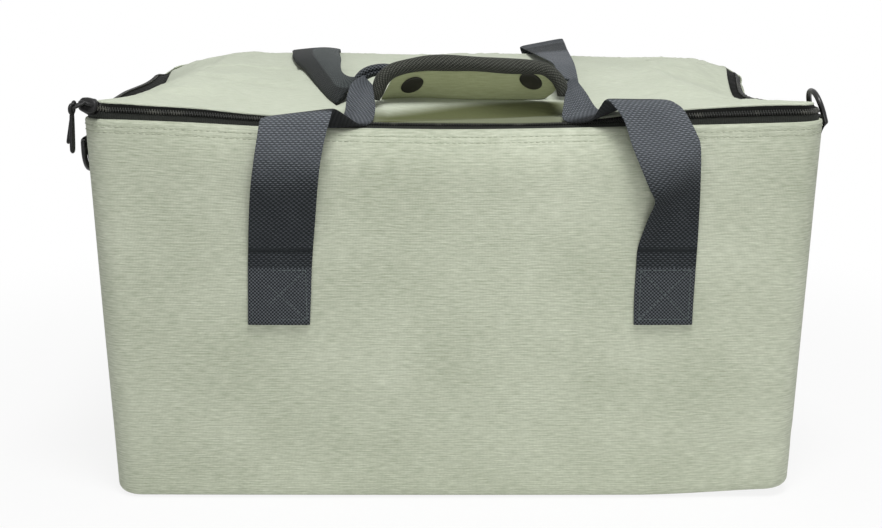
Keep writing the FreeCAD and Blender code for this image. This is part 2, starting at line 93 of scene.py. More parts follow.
def along(points):
    """Running length of a polyline, starting at 0."""
    return np.concatenate([[0], np.cumsum(np.linalg.norm(np.diff(points, axis=0), axis=1))])


def evenly(points, pitch):
    """The stations of a smooth curve through the points, spaced evenly at about the pitch, as
    values of the curve's own parameter, which runs 0, 1, 2 through the points."""
    fine = np.linspace(0, len(points) - 1, 40 * len(points))
    run = along(bend(fine, np.arange(len(points)), points))
    return np.interp(np.linspace(0, run[-1], max(2, int(run[-1] / pitch) + 1)), run, fine)


def smooth(points, pitch):
    """The smooth curve through the points, sampled evenly at about the pitch."""
    return bend(evenly(points, pitch), np.arange(len(points)), points)


def sampled(place, run, track):
    """A track, given at the stations of a run, at other places along it."""
    return np.stack([np.interp(place, run, track[:, k]) for k in range(3)], -1)


def squared(wave, power):
    """A sine or cosine flattened by a power, for an oval with square shoulders."""
    return np.sign(wave) * np.abs(wave) ** power


# ---------------------------------------------------------------- meshes

def piece(name, patches, finish, weld=0.002):
    """One object from patches. A patch is a grid of points (rows, columns, 3) in millimetres and
    a grid of cloth coordinates (rows, columns, 2), also in millimetres. Neighbouring points make
    quads, and the patches are joined where their points meet."""
    points, cloth, faces, base = [], [], [], 0
    for grid, chart in patches:
        rows, columns = grid.shape[:2]
        k = base + np.arange(rows * columns).reshape(rows, columns)
        faces.append(np.stack([k[:-1, :-1], k[:-1, 1:], k[1:, 1:], k[1:, :-1]], -1).reshape(-1, 4))
        points.append(grid.reshape(-1, 3))
        cloth.append(chart.reshape(-1, 2))
        base += rows * columns
    points, cloth, faces = map(np.concatenate, (points, cloth, faces))
    return solid(name, points, faces, finish, cloth, weld)


def solid(name, points, faces, finish, cloth, weld):
    """One object from points, quads and a cloth coordinate for each point, in millimetres. Points
    that lie within the weld are merged, the faces are turned outwards and the shading is smooth."""
    mesh = bpy.data.meshes.new(name)
    mesh.from_pydata((points * MM).tolist(), [], faces.tolist())
    chart = mesh.uv_layers.new(name="cloth")
    corner = np.empty(len(mesh.loops), int)
    mesh.loops.foreach_get("vertex_index", corner)
    chart.data.foreach_set("uv", (cloth[corner] * MM).astype(np.float32).ravel())
    form = bmesh.new()
    form.from_mesh(mesh)
    bmesh.ops.remove_doubles(form, verts=form.verts, dist=weld * MM)
    bmesh.ops.recalc_face_normals(form, faces=form.faces)
    form.to_mesh(mesh)
    form.free()
    mesh.shade_smooth()
    mesh.materials.append(finish)
    thing = bpy.data.objects.new(name, mesh)
    bpy.context.scene.collection.objects.link(thing)
    return thing


def chart_of(across, down):
    """Cloth coordinates for a grid, from one number per column and one per row."""
    return np.stack(np.meshgrid(across, down), -1).astype(float)


def thicken(thing, thickness):
    """The cloth's thickness, laid on the inside of its face."""
    wall = thing.modifiers.new("thickness", "SOLIDIFY")
    wall.thickness, wall.offset, wall.use_even_offset = thickness * MM, -1, False
    return thing


def slab(name, outer, inner, chart, finish, borders=(0, -1, np.s_[:, 0], np.s_[:, -1]), weld=0.002):
    """A closed layer between two grids: both faces and the edges that join their borders. A layer
    that is carried round a path has only its first and last rows as borders."""
    edges = [(np.stack([outer[k], inner[k]]), np.stack([chart[k], chart[k]])) for k in borders]
    return piece(name, [(outer, chart), (inner, chart)] + edges, finish, weld)


def plate(name, top, bottom, chart, finish, weld=0.002):
    """A closed layer between two grids of rings: both faces, and a rim that bulges a little."""
    rim = np.stack([top[-1], (top[-1] + bottom[-1]) / 2 * [1.002, 1.003, 1], bottom[-1]])
    return piece(name, [(top, chart), (bottom, chart), (rim, np.repeat(chart[-1:], 3, 0))], finish, weld)


def dress(thing, body, slot, *nodes):
    """The piece moves with its body and stands for the nodes; the slot is not used."""
    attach(thing, body)
    if nodes:
        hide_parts(*nodes)
    return thing


def frames_on(path, up):
    """Tangent, side and normal along a path: the side is square to the tangent and to up."""
    tangent = unit(np.gradient(path, axis=0))
    side = unit(np.cross(tangent, np.broadcast_to(up, tangent.shape)))
    return tangent, side, np.cross(side, tangent)


def oval(turn, side, normal, height):
    """An oval at every station of a path: its half axes are 1 along the side and the height
    along the normal, and turn is the angle round it."""
    return (np.cos(turn)[None, :, None] * side[:, None]
            + height * np.sin(turn)[None, :, None] * normal[:, None])


def tube(path, radius, up, sides=12, closed=False):
    """A patch for a round bar: a circle of the radius, which may change along the path, is carried
    along it. Each open end closes to a dome of one ring."""
    if closed:
        path = np.concatenate([path[-2:-1], path, path[1:2]])
    tangent, side, normal = frames_on(path, up)
    if closed:
        path, tangent, side, normal = path[1:-1], tangent[1:-1], side[1:-1], normal[1:-1]
    radius = np.broadcast_to(np.asarray(radius, float), len(path))[:, None, None]
    turn = np.linspace(0, TURN, sides + 1)
    ring = path[:, None] + radius * oval(turn, side, normal, 1.0)
    run = along(path)
    if not closed:
        domes = [path[e] + s * tangent[e] * radius[e] * f + (ring[e] - path[e]) * w
                 for e, s in ((0, -1), (-1, 1)) for f, w in ((0.7, 0.75), (1.0, 0.0))]
        ring = np.concatenate([[domes[1]], [domes[0]], ring, [domes[2]], [domes[3]]])
        run = np.concatenate([[run[0]] * 2, run, [run[-1]] * 2])
    return ring, chart_of(turn * float(radius.mean()), run)


def swarm(name, template, quads, origin, x_axis, y_axis, z_axis, finish):
    """Many copies of one small form: its points are carried to every origin along three axes."""
    t = template[None]
    points = (origin[:, None] + t[..., :1] * x_axis[:, None] + t[..., 1:2] * y_axis[:, None]
              + t[..., 2:] * z_axis[:, None]).reshape(-1, 3)
    faces = (quads[None] + (np.arange(len(origin)) * len(template))[:, None, None]).reshape(-1, 4)
    return solid(name, points, faces, finish, np.zeros((len(points), 2)), 1e-5)


def pill(length, width, height, sides=6):
    """Points and quads of a small bar along x: five rings that shrink towards its two ends."""
    x = np.array([-0.5, -0.42, 0.0, 0.42, 0.5]) * length
    r = np.array([0.35, 0.85, 1.0, 0.85, 0.35])
    turn = np.arange(sides) * TURN / sides
    rings = np.stack(np.broadcast_arrays(x[:, None], np.cos(turn) * r[:, None] * width / 2,
                                         np.sin(turn) * r[:, None] * height / 2), -1)
    k = np.arange(5 * sides).reshape(5, sides)
    n = np.roll(k, -1, 1)
    body = np.stack([k[:-1], n[:-1], n[1:], k[1:]], -1).reshape(-1, 4)
    caps = np.array([[k[e, 0], k[e, 1], k[e, 2], k[e, 3]] for e in (0, -1)]
                    + [[k[e, 0], k[e, 3], k[e, 4], k[e, 5]] for e in (0, -1)])
    return rings.reshape(-1, 3), np.concatenate([body, caps])


# ---------------------------------------------------------------- materials

class Val:
    """A socket in a material's sum. The operators add Math nodes."""

    def __init__(self, nodes, socket):
        self.nodes, self.socket = nodes, socket

    def math(self, operation, *others, clamp=False):
        """A Math node of this value and the others."""
        return self.nodes.node("ShaderNodeMath", dict(operation=operation, use_clamp=clamp),
                               dict(enumerate((self,) + others)))

    def __add__(self, other):
        return self.math("ADD", other)

    def __mul__(self, other):
        return self.math("MULTIPLY", other)

    def __sub__(self, other):
        return self.math("SUBTRACT", other)

    def __rsub__(self, other):
        return (self * -1) + other

    __radd__, __rmul__ = __add__, __mul__

    def sin(self):
        return self.math("SINE")

    def wave(self, length):
        """A sine from 0 to 1 with the given wavelength."""
        return (self * (TURN / length)).sin() * 0.5 + 0.5

    def high(self, other):
        return self.math("MAXIMUM", other)

    def low(self, other):
        return self.math("MINIMUM", other)

    def power(self, other):
        return self.math("POWER", other)

    def step(self, a, b):
        """0 at a, 1 at b, smooth between, whichever of a and b is larger."""
        return self.nodes.node("ShaderNodeMapRange", dict(interpolation_type="SMOOTHSTEP"),
                               {0: self, 1: a, 2: b})


class Nodes:
    """A node tree. Nodes are added by type."""

    def __init__(self, tree):
        self.tree = tree

    def node(self, kind, settings=None, inputs=None, out=0):
        """A node of the kind: its settings are set first, then the values or links of its inputs.
        Its output is returned."""
        made = self.tree.nodes.new(kind)
        for key, value in (settings or {}).items():
            setattr(made, key, value)
        for key, value in (inputs or {}).items():
            self.put(made.inputs[key], value)
        return Val(self, made.outputs[out])

    def put(self, socket, value):
        """Links a value to a socket, or sets the socket to a number, a colour or a vector."""
        if isinstance(value, Val):
            self.tree.links.new(value.socket, socket)
        elif hasattr(socket.default_value, "__len__"):
            size = len(socket.default_value)
            socket.default_value = (*value, 1) if len(value) < size else tuple(value)
        else:
            socket.default_value = value

    def background_seen(self):
        """1 for a ray from the camera, off a gloss or through a clear piece, and 0 otherwise."""
        rays = self.node("ShaderNodeLightPath").socket.node.outputs
        kinds = ("Camera", "Glossy", "Transmission")
        camera, glossy, clear = (Val(self, rays[f"Is {kind} Ray"]) for kind in kinds)
        return camera.high(glossy).high(clear)


class Finish(Nodes):
    """A material. What is the same all over is set on the shader's own sockets."""

    def __init__(self, name, **constants):
        self.material = bpy.data.materials.new(name)
        self.material.use_nodes = True
        super().__init__(self.material.node_tree)
        self.shader = next(n for n in self.tree.nodes if n.type == "BSDF_PRINCIPLED")
        for socket, value in constants.items():
            self.shader.inputs[socket.replace("_", " ")].default_value = value

    def pair(self, vector):
        """The first two parts of a vector."""
        parts = self.node("ShaderNodeSeparateXYZ", None, {0: vector}).socket.node.outputs
        return Val(self, parts[0]), Val(self, parts[1])

    def cloth(self):
        """The two cloth coordinates, in millimetres."""
        u, v = self.pair(self.node("ShaderNodeUVMap", dict(uv_map="cloth")))
        return u * 1000, v * 1000

    def place(self):
        """Object coordinates."""
        return Val(self, self.tree.nodes.new("ShaderNodeTexCoord").outputs["Object"])

    def noise(self, where, scale=1.0, detail=2.0, rough=0.5):
        """Noise, 0 to 1, at a vector or at a pair of coordinates."""
        if isinstance(where, tuple):
            where = self.node("ShaderNodeCombineXYZ", None, dict(enumerate(where)))
        return self.node("ShaderNodeTexNoise", None,
                         {"Vector": where, "Scale": scale, "Detail": detail, "Roughness": rough})

    def mix(self, factor, a, b):
        """Colour a where the factor is 0 and colour b where it is 1."""
        return self.node("ShaderNodeMix", dict(data_type="RGBA"), {0: factor, 6: a, 7: b}, 2)

    def weave(self, tone, dark, light):
        """The dark colour to the light one, by a tone that is held between 0 and 1."""
        return self.mix(tone.math("ADD", 0.0, clamp=True), dark, light)

    def paint(self, colour, rough, height, depth, strength):
        """Links what varies over the surface: colour, roughness and a height in the bump."""
        bump = self.node("ShaderNodeBump", None,
                         {"Strength": strength, "Distance": depth, "Height": height})
        for socket, value in (("Base Color", colour), ("Roughness", rough), ("Normal", bump)):
            self.put(self.shader.inputs[socket], value)
        return self.material


def srgb(r, g, b):
    """A display colour, 0 to 255, as the linear colour that a shader takes."""
    c = np.array([r, g, b]) / 255
    return tuple(np.where(c <= 0.04045, c / 12.92, ((c + 0.055) / 1.055) ** 2.4).tolist())


def slub_cloth(name, light, dark, rows=1.7, pressed=None):
    """Woven cloth with slubs: uneven weft threads lie in rows, thicker here and thinner there.
    Where the handle has pressed it, a soft band along the pressed line, and the margin in front of
    it, is painted darker: painted shade under the grip."""
    f = Finish(name, Specular_IOR_Level=0.25, Sheen_Weight=0.15, Sheen_Roughness=0.5)
    u, v = f.cloth()
    drift = f.noise((u * 0.03, v * 0.12)) - 0.5
    streak = f.noise((u * 0.13, v * 0.85), 1.0, 4.0, 0.62)
    row = (v + drift * 3.0).wave(rows)
    warp = (u + drift * 2.0).wave(0.9)
    cloud = f.noise((u * 0.012, v * 0.016))
    tone = (streak - 0.5) * 1.7 + (row - 0.5) * 0.16 + (cloud - 0.5) * 0.7 + (warp - 0.5) * 0.10 + 0.5
    colour = f.weave(tone, dark, light)
    if pressed is not None:
        # Painted shade: the lid's cloth is darkened along the crease under the grip and over the margin in
        # front of it.
        off = v + 98.5 - (u * 0.2 + 0.4).high(-8).low(11)
        line = off.math("ABSOLUTE").step(9, 3.5).high(off.step(1, -3) * 0.8)
        colour = f.mix(line * u.step(-80, -40) * u.step(92, 62), colour, pressed)
    height = row * 0.25 + streak + warp * 0.15
    return f.paint(colour, (streak - 0.5) * 0.12 + 0.84, height, 0.00045, 0.55)


def webbing(name, light, dark, pitch=1.35, check=3.1, sewn=True, back=None, half=None):
    """Ribbed webbing: rows along its length, each row broken into checks that step sideways from
    row to row. Where it is sewn, its end is turned under: the doubled part shows the fine square
    grid of the weave's back below a crosswise ridge. Above it the checks are painted darker up the
    strap, as painted shade where it faces down, and paler and stronger towards the rim, as painted
    sheen where it turns up to the light. Over a stretch of the length, or past a line across the
    width, it is painted near-black: painted shade where it turns under a fold."""
    f = Finish(name, Specular_IOR_Level=0.12, Sheen_Weight=0.02, Sheen_Roughness=0.4)
    u, v = f.cloth()
    row = v.math("DIVIDE", pitch)
    ridge = 1 - (row.math("FRACT") * 2 - 1).math("ABSOLUTE").power(2.0)
    side = (u * (TURN / check) + row.math("FLOOR") * (math.pi * 0.97)).sin()
    bump = (side.step(-0.7, 0.7) * 0.62 + 0.38) * ridge
    fuzz = f.noise((u * 0.9, v * 0.9))
    wear = f.noise((u * 0.05, v * 0.04))
    tone = bump * 0.85 + (wear - 0.5) * 0.2
    height = bump + ridge * 0.4
    if sewn:
        # Painted shade and sheen: the checks are darker and weaker up the strap, where it faces down, and
        # paler and stronger towards the rim, where it turns up to the light.
        tone = bump * (v.step(84, 116) * 0.35 + 0.5) + (wear - 0.5) * 0.2
        turned = v.step(38.5, 37.5)
        grid = (u * (TURN / 2.3)).sin() * (v * (TURN / 2.3)).sin()
        square = grid.step(-0.5, 0.5)
        seam = v.step(47, 49.5) * v.step(52, 49.5)
        # The step by height is painted sheen towards the rim, and the offset under it is painted shade.
        tone = tone + v.step(84, 124) * 0.30 - 0.27 + (square * 0.5 + 0.14 - tone) * turned - seam * 0.3
        height = height + (square - height) * turned + seam * 2.5
    colour = f.weave(tone + (fuzz - 0.5) * 0.3 + 0.08, dark, light)
    if back is not None:
        # Painted shade: over the stretch between the two lengths in back, the strap is laid near-black
        # where its inner face turns under the fold.
        shown = v.step(back[0], back[0] + 3) * v.step(back[1] + 12, back[1])
        colour = f.mix(shown * 0.85, colour, PAINTED_FOLD_SHADE)
    if half is not None:
        # Painted shade: past the line at half across the width, the strap is laid near-black where it turns
        # under.
        colour = f.mix(u.step(half, half + 2) * v.step(22, 30) * 0.7, colour, PAINTED_FOLD_SHADE)
    return f.paint(colour, 0.1 * fuzz + 0.62, height, 0.0005, 0.85)


def ribbed(name, light, dark, pitch, slant):
    """Fine ribs that run slantwise across the cloth coordinates, with a little fuzz."""
    f = Finish(name, Specular_IOR_Level=0.1, Sheen_Weight=0.02, Sheen_Roughness=0.5)
    u, v = f.cloth()
    rib = (v + u * slant).wave(pitch)
    knot = (v * slant - u).wave(pitch * 1.6)
    fuzz = f.noise((u * 0.7, v * 0.7), 1.0, 3.0)
    colour = f.weave(rib * knot * 0.7 + (fuzz - 0.5) * 0.5 + 0.15, dark, light)
    return f.paint(colour, 0.15 * fuzz + 0.7, rib * 0.6 + knot * 0.5, 0.0004, 0.7)


def moulded(name, colour, worn_and_glint, rough, metal=0.0, coat=0.0):
    """A hard finish: fine grain in the gloss, and a paler tone in broad patches of noise: rubbed wear, and
    on the zip's coil painted highlight as well.
    """
    f = Finish(name, Metallic=metal, Coat_Weight=coat, Specular_IOR_Level=0.3)
    where = f.place()
    fine = f.noise(where, 900.0, 3.0)
    broad = f.noise(where, 60.0, 3.0)
    tint = f.mix(broad.step(0.52, 0.72) * 0.6, colour, worn_and_glint)
    return f.paint(tint, (fine - 0.5) * 0.25 + (broad - 0.5) * 0.15 + rough, fine, 0.0001, 0.25)


def fluted(name, colour):
    """Twin-wall board: flutes show as faint bands along x."""
    f = Finish(name)
    band = f.pair(f.place())[1].wave(0.004)
    fine = f.noise(f.place(), 400.0)
    tint = f.mix(fine * 0.3, colour, tuple(c * 1.6 for c in colour))
    return f.paint(tint, band * 0.1 + 0.45, band, 0.0004, 0.4)


def cellular(name, colour):
    """Foam sheet: small closed cells in the bump and in the colour."""
    f = Finish(name, Specular_IOR_Level=0.2)
    cells = f.node("ShaderNodeTexVoronoi", None, {"Vector": f.place(), "Scale": 900.0})
    tint = f.mix(cells * 0.5, colour, tuple(c * 0.8 for c in colour))
    return f.paint(tint, cells * 0.1 + 0.85, cells, 0.0003, 0.5)


SAGE = slub_cloth("sage_cloth", srgb(208, 213, 194), srgb(158, 165, 143))
# The lid cloth's last colour is painted shade for the crease under the grip.
LID_SAGE = slub_cloth("lid_cloth", srgb(208, 214, 196), srgb(186, 193, 173), 1.3, srgb(93, 98, 64))
# The flap is the sage cloth; its darker, yellower colours are painted shade.
FLAP_PAINTED_SHADE_SAGE = slub_cloth("flap_cloth_painted_shade", srgb(176, 183, 142), srgb(148, 155, 114), 0.9)
LINING = slub_cloth("lining_cloth", srgb(128, 128, 128), srgb(104, 104, 104), 0.8)
WEB_TONES = (srgb(126, 131, 137), srgb(30, 34, 36))
# A darker copy of the grey webbing's tones, for the strap that lies over the lid: painted shade.
FOLDED_PAINTED_SHADE_TONES = (srgb(96, 102, 102), srgb(34, 38, 38))
TAB_TONES = (srgb(60, 60, 62), srgb(18, 18, 19))
# Painted shade: the near-black laid on the webbing where it turns under a fold.
PAINTED_FOLD_SHADE = srgb(14, 15, 14)
WEBBING = webbing("grey_webbing", *WEB_TONES)
LEFT_WEBBING = webbing("grey_webbing_left", *WEB_TONES, back=(139, 168))
RIGHT_WEBBING = webbing("grey_webbing_right", *WEB_TONES, back=(155, 186))
# The folded strap's webbing: its darker tones and its near-black half are painted shade.
FOLDED_PAINTED_SHADE_WEBBING = webbing("grey_webbing_folded_painted_shade", *FOLDED_PAINTED_SHADE_TONES, sewn=False, half=2.0)
TAB_WEBBING = webbing("black_webbing", *TAB_TONES, pitch=0.9, check=2.2, sewn=False)
WRAP = ribbed("wrap_cloth", srgb(104, 106, 98), srgb(20, 21, 18), 1.6, 0.9)
UPPER_TAPE = ribbed("zip_tape_cloth", srgb(22, 23, 20), srgb(8, 9, 8), 0.8, 0.0)
# The lower tape is a paler copy of the same black tape: painted light.
LOWER_TAPE_PAINTED_LIGHT = ribbed("zip_lower_tape_cloth", srgb(64, 66, 62), srgb(34, 36, 33), 0.8, 0.0)
BINDING = ribbed("seam_binding", srgb(50, 51, 48), srgb(24, 24, 22), 0.7, 1.0)
# The coil is black nylon: its paler tones are painted highlight, and its paler patches are rubbed wear and
# painted highlight.
TEETH = moulded("nylon_coil", srgb(36, 37, 34), srgb(96, 96, 88), 0.36)
METAL = moulded("black_zinc", srgb(9, 9, 9), srgb(22, 22, 21), 0.5, coat=0.03)
RING_METAL = moulded("black_ring_metal", srgb(20, 20, 20), srgb(46, 46, 45), 0.38, coat=0.12)
SNAP_METAL = moulded("gunmetal_snap", srgb(40, 40, 32), srgb(60, 60, 50), 0.5, metal=0.2)
FOAM = cellular("grey_foam", (0.6, 0.6, 0.58))
BOARD = fluted("fluted_board", (0.08, 0.08, 0.08))
PALE_THREAD = moulded("pale_thread", srgb(188, 194, 174), srgb(150, 156, 138), 0.7)
DARK_THREAD = moulded("dark_thread", srgb(84, 92, 92), srgb(110, 118, 118), 0.6)


# ---------------------------------------------------------------- the settled bag form

def outline(t, z, inset):
    """A point of the nominal plan outline. t runs round the bag, one unit per side or corner,
    from the front left; the core rectangle's edge is stepped out by the corner radius less the
    inset. Width and depth grow with height, the two long sides belly out, the two short ones draw
    in a little at the foot and the rim, and the foot rounds under within the tuck."""
    t, z, inset = np.broadcast_arrays(*map(lambda a: np.asarray(a, float), (t, z, inset)))
    hw = HALF_WIDTH + WIDER * np.clip(z, 0, RIM) / RIM
    hd = HALF_DEPTH + DEEPER * np.clip(z, 0, RIM) / RIM
    foot = TUCK - np.sqrt(np.maximum(TUCK**2 - np.clip(TUCK - z, 0, TUCK) ** 2, 0))
    q, ends = np.mod(t + 0.5, 8), np.arange(9)
    cx, cy = hw - CORNER, hd - CORNER
    ux = np.interp(q, ends, [-1, 1, 1, 1, 1, -1, -1, -1, -1])
    uy = np.interp(q, ends, [-1, -1, -1, 1, 1, 1, 1, -1, -1])
    angle = np.radians(np.interp(q, ends, [-90, -90, 0, 0, 90, 90, 180, 180, 270]))
    belly = 0.8 + 3.2 * (1 - ((z - 126) / 126) ** 2)
    reach = CORNER - inset - foot + belly * (1 - ux**2) * np.abs(np.sin(angle)) ** 4
    side_puff = 1.6 * (1 - ((z - 120) / 135) ** 2) * (1 - uy**2) * np.abs(np.cos(angle)) ** 4
    reach = reach + side_puff - 1.6 * (1 - uy**2) * np.abs(np.cos(angle)) ** 4
    return np.stack([ux * cx + reach * np.cos(angle), uy * cy + reach * np.sin(angle), z], -1)


TOP_X = [-232, -205, -165, -120, -60, 0, 60, 120, 165, 205, 232]
TOP_DROP = [1.6, 0.9, -1.2, -4.0, -5.6, -6.6, -5.8, -3.8, -2.2, -0.8, 0.4]
TOP_LEAN = [0.0, 1.6, 5.6, 8.6, 12.4, 14.0, 13.2, 8.4, 3.6, 1.4, 0.0]


def settle(p):
    """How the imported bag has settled. The right rim bows in at mid depth, the front's top sags and
    leans back in its middle, the near right corner of the foot is a little off the floor with a
    crease over it, and the long faces ripple by under a millimetre."""
    p = np.array(p, float)
    x, y, z = p[..., 0].copy(), p[..., 1].copy(), p[..., 2].copy()
    near, high = ease(-40, -118, y), ease(150, RIM, z)
    bow = np.cos(np.clip((y - 8) / 116, -1, 1) * math.pi / 2) ** 2
    p[..., 0] -= (13.0 * bow * ease(110, 225, x) - 2.0 * bow * ease(-110, -225, x)) * ease(90, RIM, z)
    p[..., 2] -= 2.5 * bow * ease(150, 225, x) * high
    across = np.clip(x, -232, 232)
    p[..., 2] += bend(across, TOP_X, TOP_DROP) * near * high
    p[..., 1] += bend(across, TOP_X, TOP_LEAN) * near * (np.clip(z - RIM + 36, 0, 36) / 36) ** 2.8
    lift = ease(120, 232, x) * ease(95, 8, z) * ease(-20, -120, y)
    p[..., 2] += 4.6 * lift
    fold = np.exp(-(((z - 30) - 0.25 * (x - 200)) / 7.0) ** 2) * ease(165, 200, x) * near
    ripple = np.sin(x / 31 + z / 47) * 0.5 + np.sin(x / 17 - z / 23 + 1.3) * 0.25
    ripple = ripple * ease(4, 40, z) * ease(RIM, 200, z)
    p[..., 1] += (1.3 * fold - 0.7 * ripple) * near
    p[..., 1] += 0.7 * ripple * ease(40, 118, y)
    return p


def wall(t, z, inset=0.0):
    """A point of the settled bag: the outline, then how the bag settles."""
    return settle(outline(t, z, inset))


def station(x, face):
    """t at an x of the front wall, where face is -1, or of the back wall, where it is 1."""
    return np.interp(x, [-STRAIGHT, STRAIGHT], [-0.5, 0.5] if face < 0 else [4.5, 3.5])


def rim_way(t):
    """The direction along the rim at t, towards a larger t."""
    return unit(wall(t + 1e-3, RIM, 2.0) - wall(t - 1e-3, RIM, 2.0))


def valley(off, width):
    """1 on a line and 0 far off it, by a bell of the width."""
    return np.exp(-((off / width) ** 2))


# The lid's tables: x, or y, and then what the form takes there.
LID_FRONT = ([-232, -206, -188, -157, -125, -80, -45, 0, 45, 75, 100, 130, 160, 195, 232],
             [11.5, 11.2, 9.4, 6.4, 2.0, -2.2, -3.6, -4.1, -3.6, -2.0, 0.2, 4.2, 7.8, 10.4, 10.6])
LID_FREE = ([-128, -112, -88, -60, -20, 40, 85, 110], [0.0, 0.10, 0.34, 0.56, 0.78, 0.93, 1.0, 1.0])
LID_PRESSED = ([-128, -116, -110, -104, -100, -98, -96, -93.5, -91, -88, -84, -70, -50, -10, 40, 85, 110],
               [0.0, 0.0, 0.02, 0.04, 0.05, 0.06, 0.12, 0.26, 0.35, 0.385, 0.40, 0.47, 0.62, 0.82,
                0.94, 1.0, 1.0])
LEFT_POCKET = ([-128, -105, -82, -60, -20, 20, 60, 90, 105, 125],
               [0, 0.5, 4.2, 7.4, 9.0, 9.4, 7.0, 3.0, 1.0, 0.0])
RIGHT_POCKET = ([-128, -100, -80, -60, -30, -12, 10, 35, 60, 125],
                [0, 1.6, 6.4, 10.0, 14.5, 16.5, 14.5, 6.0, 0, 0])


def lid_form(x, y):
    """The lid's drawn top over the rim. It climbs from its front edge to its back, falls off in
    shoulders at the sides and rolls down at the back. In the middle of the front the handle has
    pressed it down: a flat margin ends in a steep step. Along both sides it sinks to a pocket.
    Three shallow creases and a soft ripple lie over it."""
    front = bend(np.clip(x, -232, 232), *LID_FRONT)
    shoulder = np.clip((np.abs(x) - 140) / 85, 0, 1) ** (2.8 - 0.2 * np.sign(x))
    top = 23.0 - (14.0 - 1.5 * np.sign(x)) * shoulder - 2.6 * ease(20, 150, x)
    free = bend(np.clip(y, -128, 110), *LID_FREE)
    pressed = bend(np.clip(y - np.clip(0.125 * x, -6, 9), -128, 110), *LID_PRESSED)
    climb = free + (pressed - free) * ease(105, 55, np.abs(x - 10))
    climb = climb + (ease(-128, np.where(x > 0, -10, -60), y) - climb) * ease(150, 205, np.abs(x))
    h = front + (top - front) * climb
    left = bend(np.clip(y, -128, 125), *LEFT_POCKET)
    right = bend(np.clip(y, -128, 125), *RIGHT_POCKET)
    h = h - left * ease(-165, -216, x) - right * ease(140, 197, x)
    roll = np.clip((y - 103) / 22, 0, 1)
    h = h - (h - 5.0) * (1 - np.sqrt(1 - np.minimum(roll, 0.999) ** 2)) * 0.9
    crease = (valley(y - 6 - 0.10 * (x + 150), 5.0) * ease(-200, -165, x) * ease(-50, -110, x)
              + valley(y + 52 + 0.16 * (x + 140), 4.0) * ease(-190, -165, x) * ease(-85, -120, x)
              + 0.7 * valley(y + 70 - 0.2 * (x - 150), 6.0) * ease(95, 130, x) * ease(215, 185, x))
    soft = np.sin(x / 38 + y / 55) * np.sin(y / 33 - x / 71 + 0.8)
    soft = soft * ease(215, 170, np.abs(x)) * ease(-118, -80, y)
    return h - 1.7 * crease + 0.9 * soft


LID_X, LID_Y = np.linspace(-208, 208, 105), np.linspace(-112, 112, 57)    # the trial cloth's threads
MOST_PUFF = 2.4           # how far the cloth may move from the drawn form


def relaxed_lid():
    """How far the lid's cloth moves when it is let go. A trial sheet lies on the drawn form, with its
    edge, its pressed front and the cloth under the straps held. It is cut a little larger than the
    form, so that it puffs and buckles as padded cloth does."""
    x, y = np.meshgrid(LID_X, LID_Y)
    start = np.stack([x, y, lid_form(x, y)], -1)
    trial = piece("lid_trial", [(start, start[..., :2])], FOAM)
    inside = np.minimum(LID_X[-1] - np.abs(x), LID_Y[-1] - np.abs(y))
    inside = np.minimum(inside, 6 + np.maximum(np.abs(np.abs(x) - 92) - 34, 0))
    inside = np.minimum(inside, 2 + np.maximum(y + 66, np.maximum(np.abs(x) - 120, 0))).ravel()
    held = trial.vertex_groups.new(name="held")
    for low, grip in ((0, 1.0), (4, 0.6), (12, 0.25), (20, 0.06)):
        held.add(np.flatnonzero((inside >= low) & (inside < low + 8)).tolist(), grip, "REPLACE")
    relax = trial.modifiers.new("relax", "CLOTH")
    cloth = relax.settings
    cloth.quality, cloth.mass, cloth.air_damping = 5, 0.05, 2.0
    cloth.tension_stiffness = cloth.compression_stiffness = 12
    cloth.shear_stiffness, cloth.bending_stiffness = 6, 0.4
    cloth.shrink_min, cloth.vertex_group_mass = -0.018, "held"
    cloth.effector_weights.gravity = 0
    relax.collision_settings.use_collision = False
    scene = bpy.context.scene
    first = scene.frame_current
    for frame_number in range(1, 21):
        scene.frame_set(frame_number)
    settled = trial.evaluated_get(bpy.context.evaluated_depsgraph_get()).to_mesh()
    height = np.empty(len(settled.vertices) * 3)
    settled.vertices.foreach_get("co", height)
    scene.frame_set(first)
    bpy.data.objects.remove(trial)
    return np.clip(height[2::3].reshape(x.shape) / MM - start[..., 2], -MOST_PUFF, MOST_PUFF)


PUFF = relaxed_lid()


def lid_height(x, y):
    """The lid's top over the rim: the drawn form and, between its threads, the relaxed cloth."""
    x, y = np.broadcast_arrays(np.asarray(x, float), np.asarray(y, float))
    i = np.clip((x - LID_X[0]) / (LID_X[1] - LID_X[0]), 0, len(LID_X) - 1.001)
    j = np.clip((y - LID_Y[0]) / (LID_Y[1] - LID_Y[0]), 0, len(LID_Y) - 1.001)
    a, b = i.astype(int), j.astype(int)
    u, v = i - a, j - b
    near = PUFF[b, a] * (1 - u) + PUFF[b, a + 1] * u
    far = PUFF[b + 1, a] * (1 - u) + PUFF[b + 1, a + 1] * u
    return lid_form(x, y) + (near * (1 - v) + far * v)


def band_width(t):
    """How far the lid's edge lies inside the rim, in plan: narrow at the near corners, wide along
    the sides, medium in the middle of the front."""
    return bend(np.mod(t + 0.5, 8),
                [0, 0.10, 0.5, 0.90, 1, 1.5, 2, 2.5, 3, 3.5, 4, 4.5, 5, 5.5, 6, 6.5, 7, 7.5, 8],
                [6.5, 7, 9.5, 7, 6.5, 7, 7, 15, 14, 8, 8, 8, 8, 8, 10, 15, 9, 7, 6.5])


def lid_edge(t):
    """The lid's edge: the outline at the rim, stepped in by the band's width, at the lid's height."""
    p = settle(outline(t, RIM, band_width(t)))
    p[..., 2] = RIM + lid_height(p[..., 0], p[..., 1])
    return p


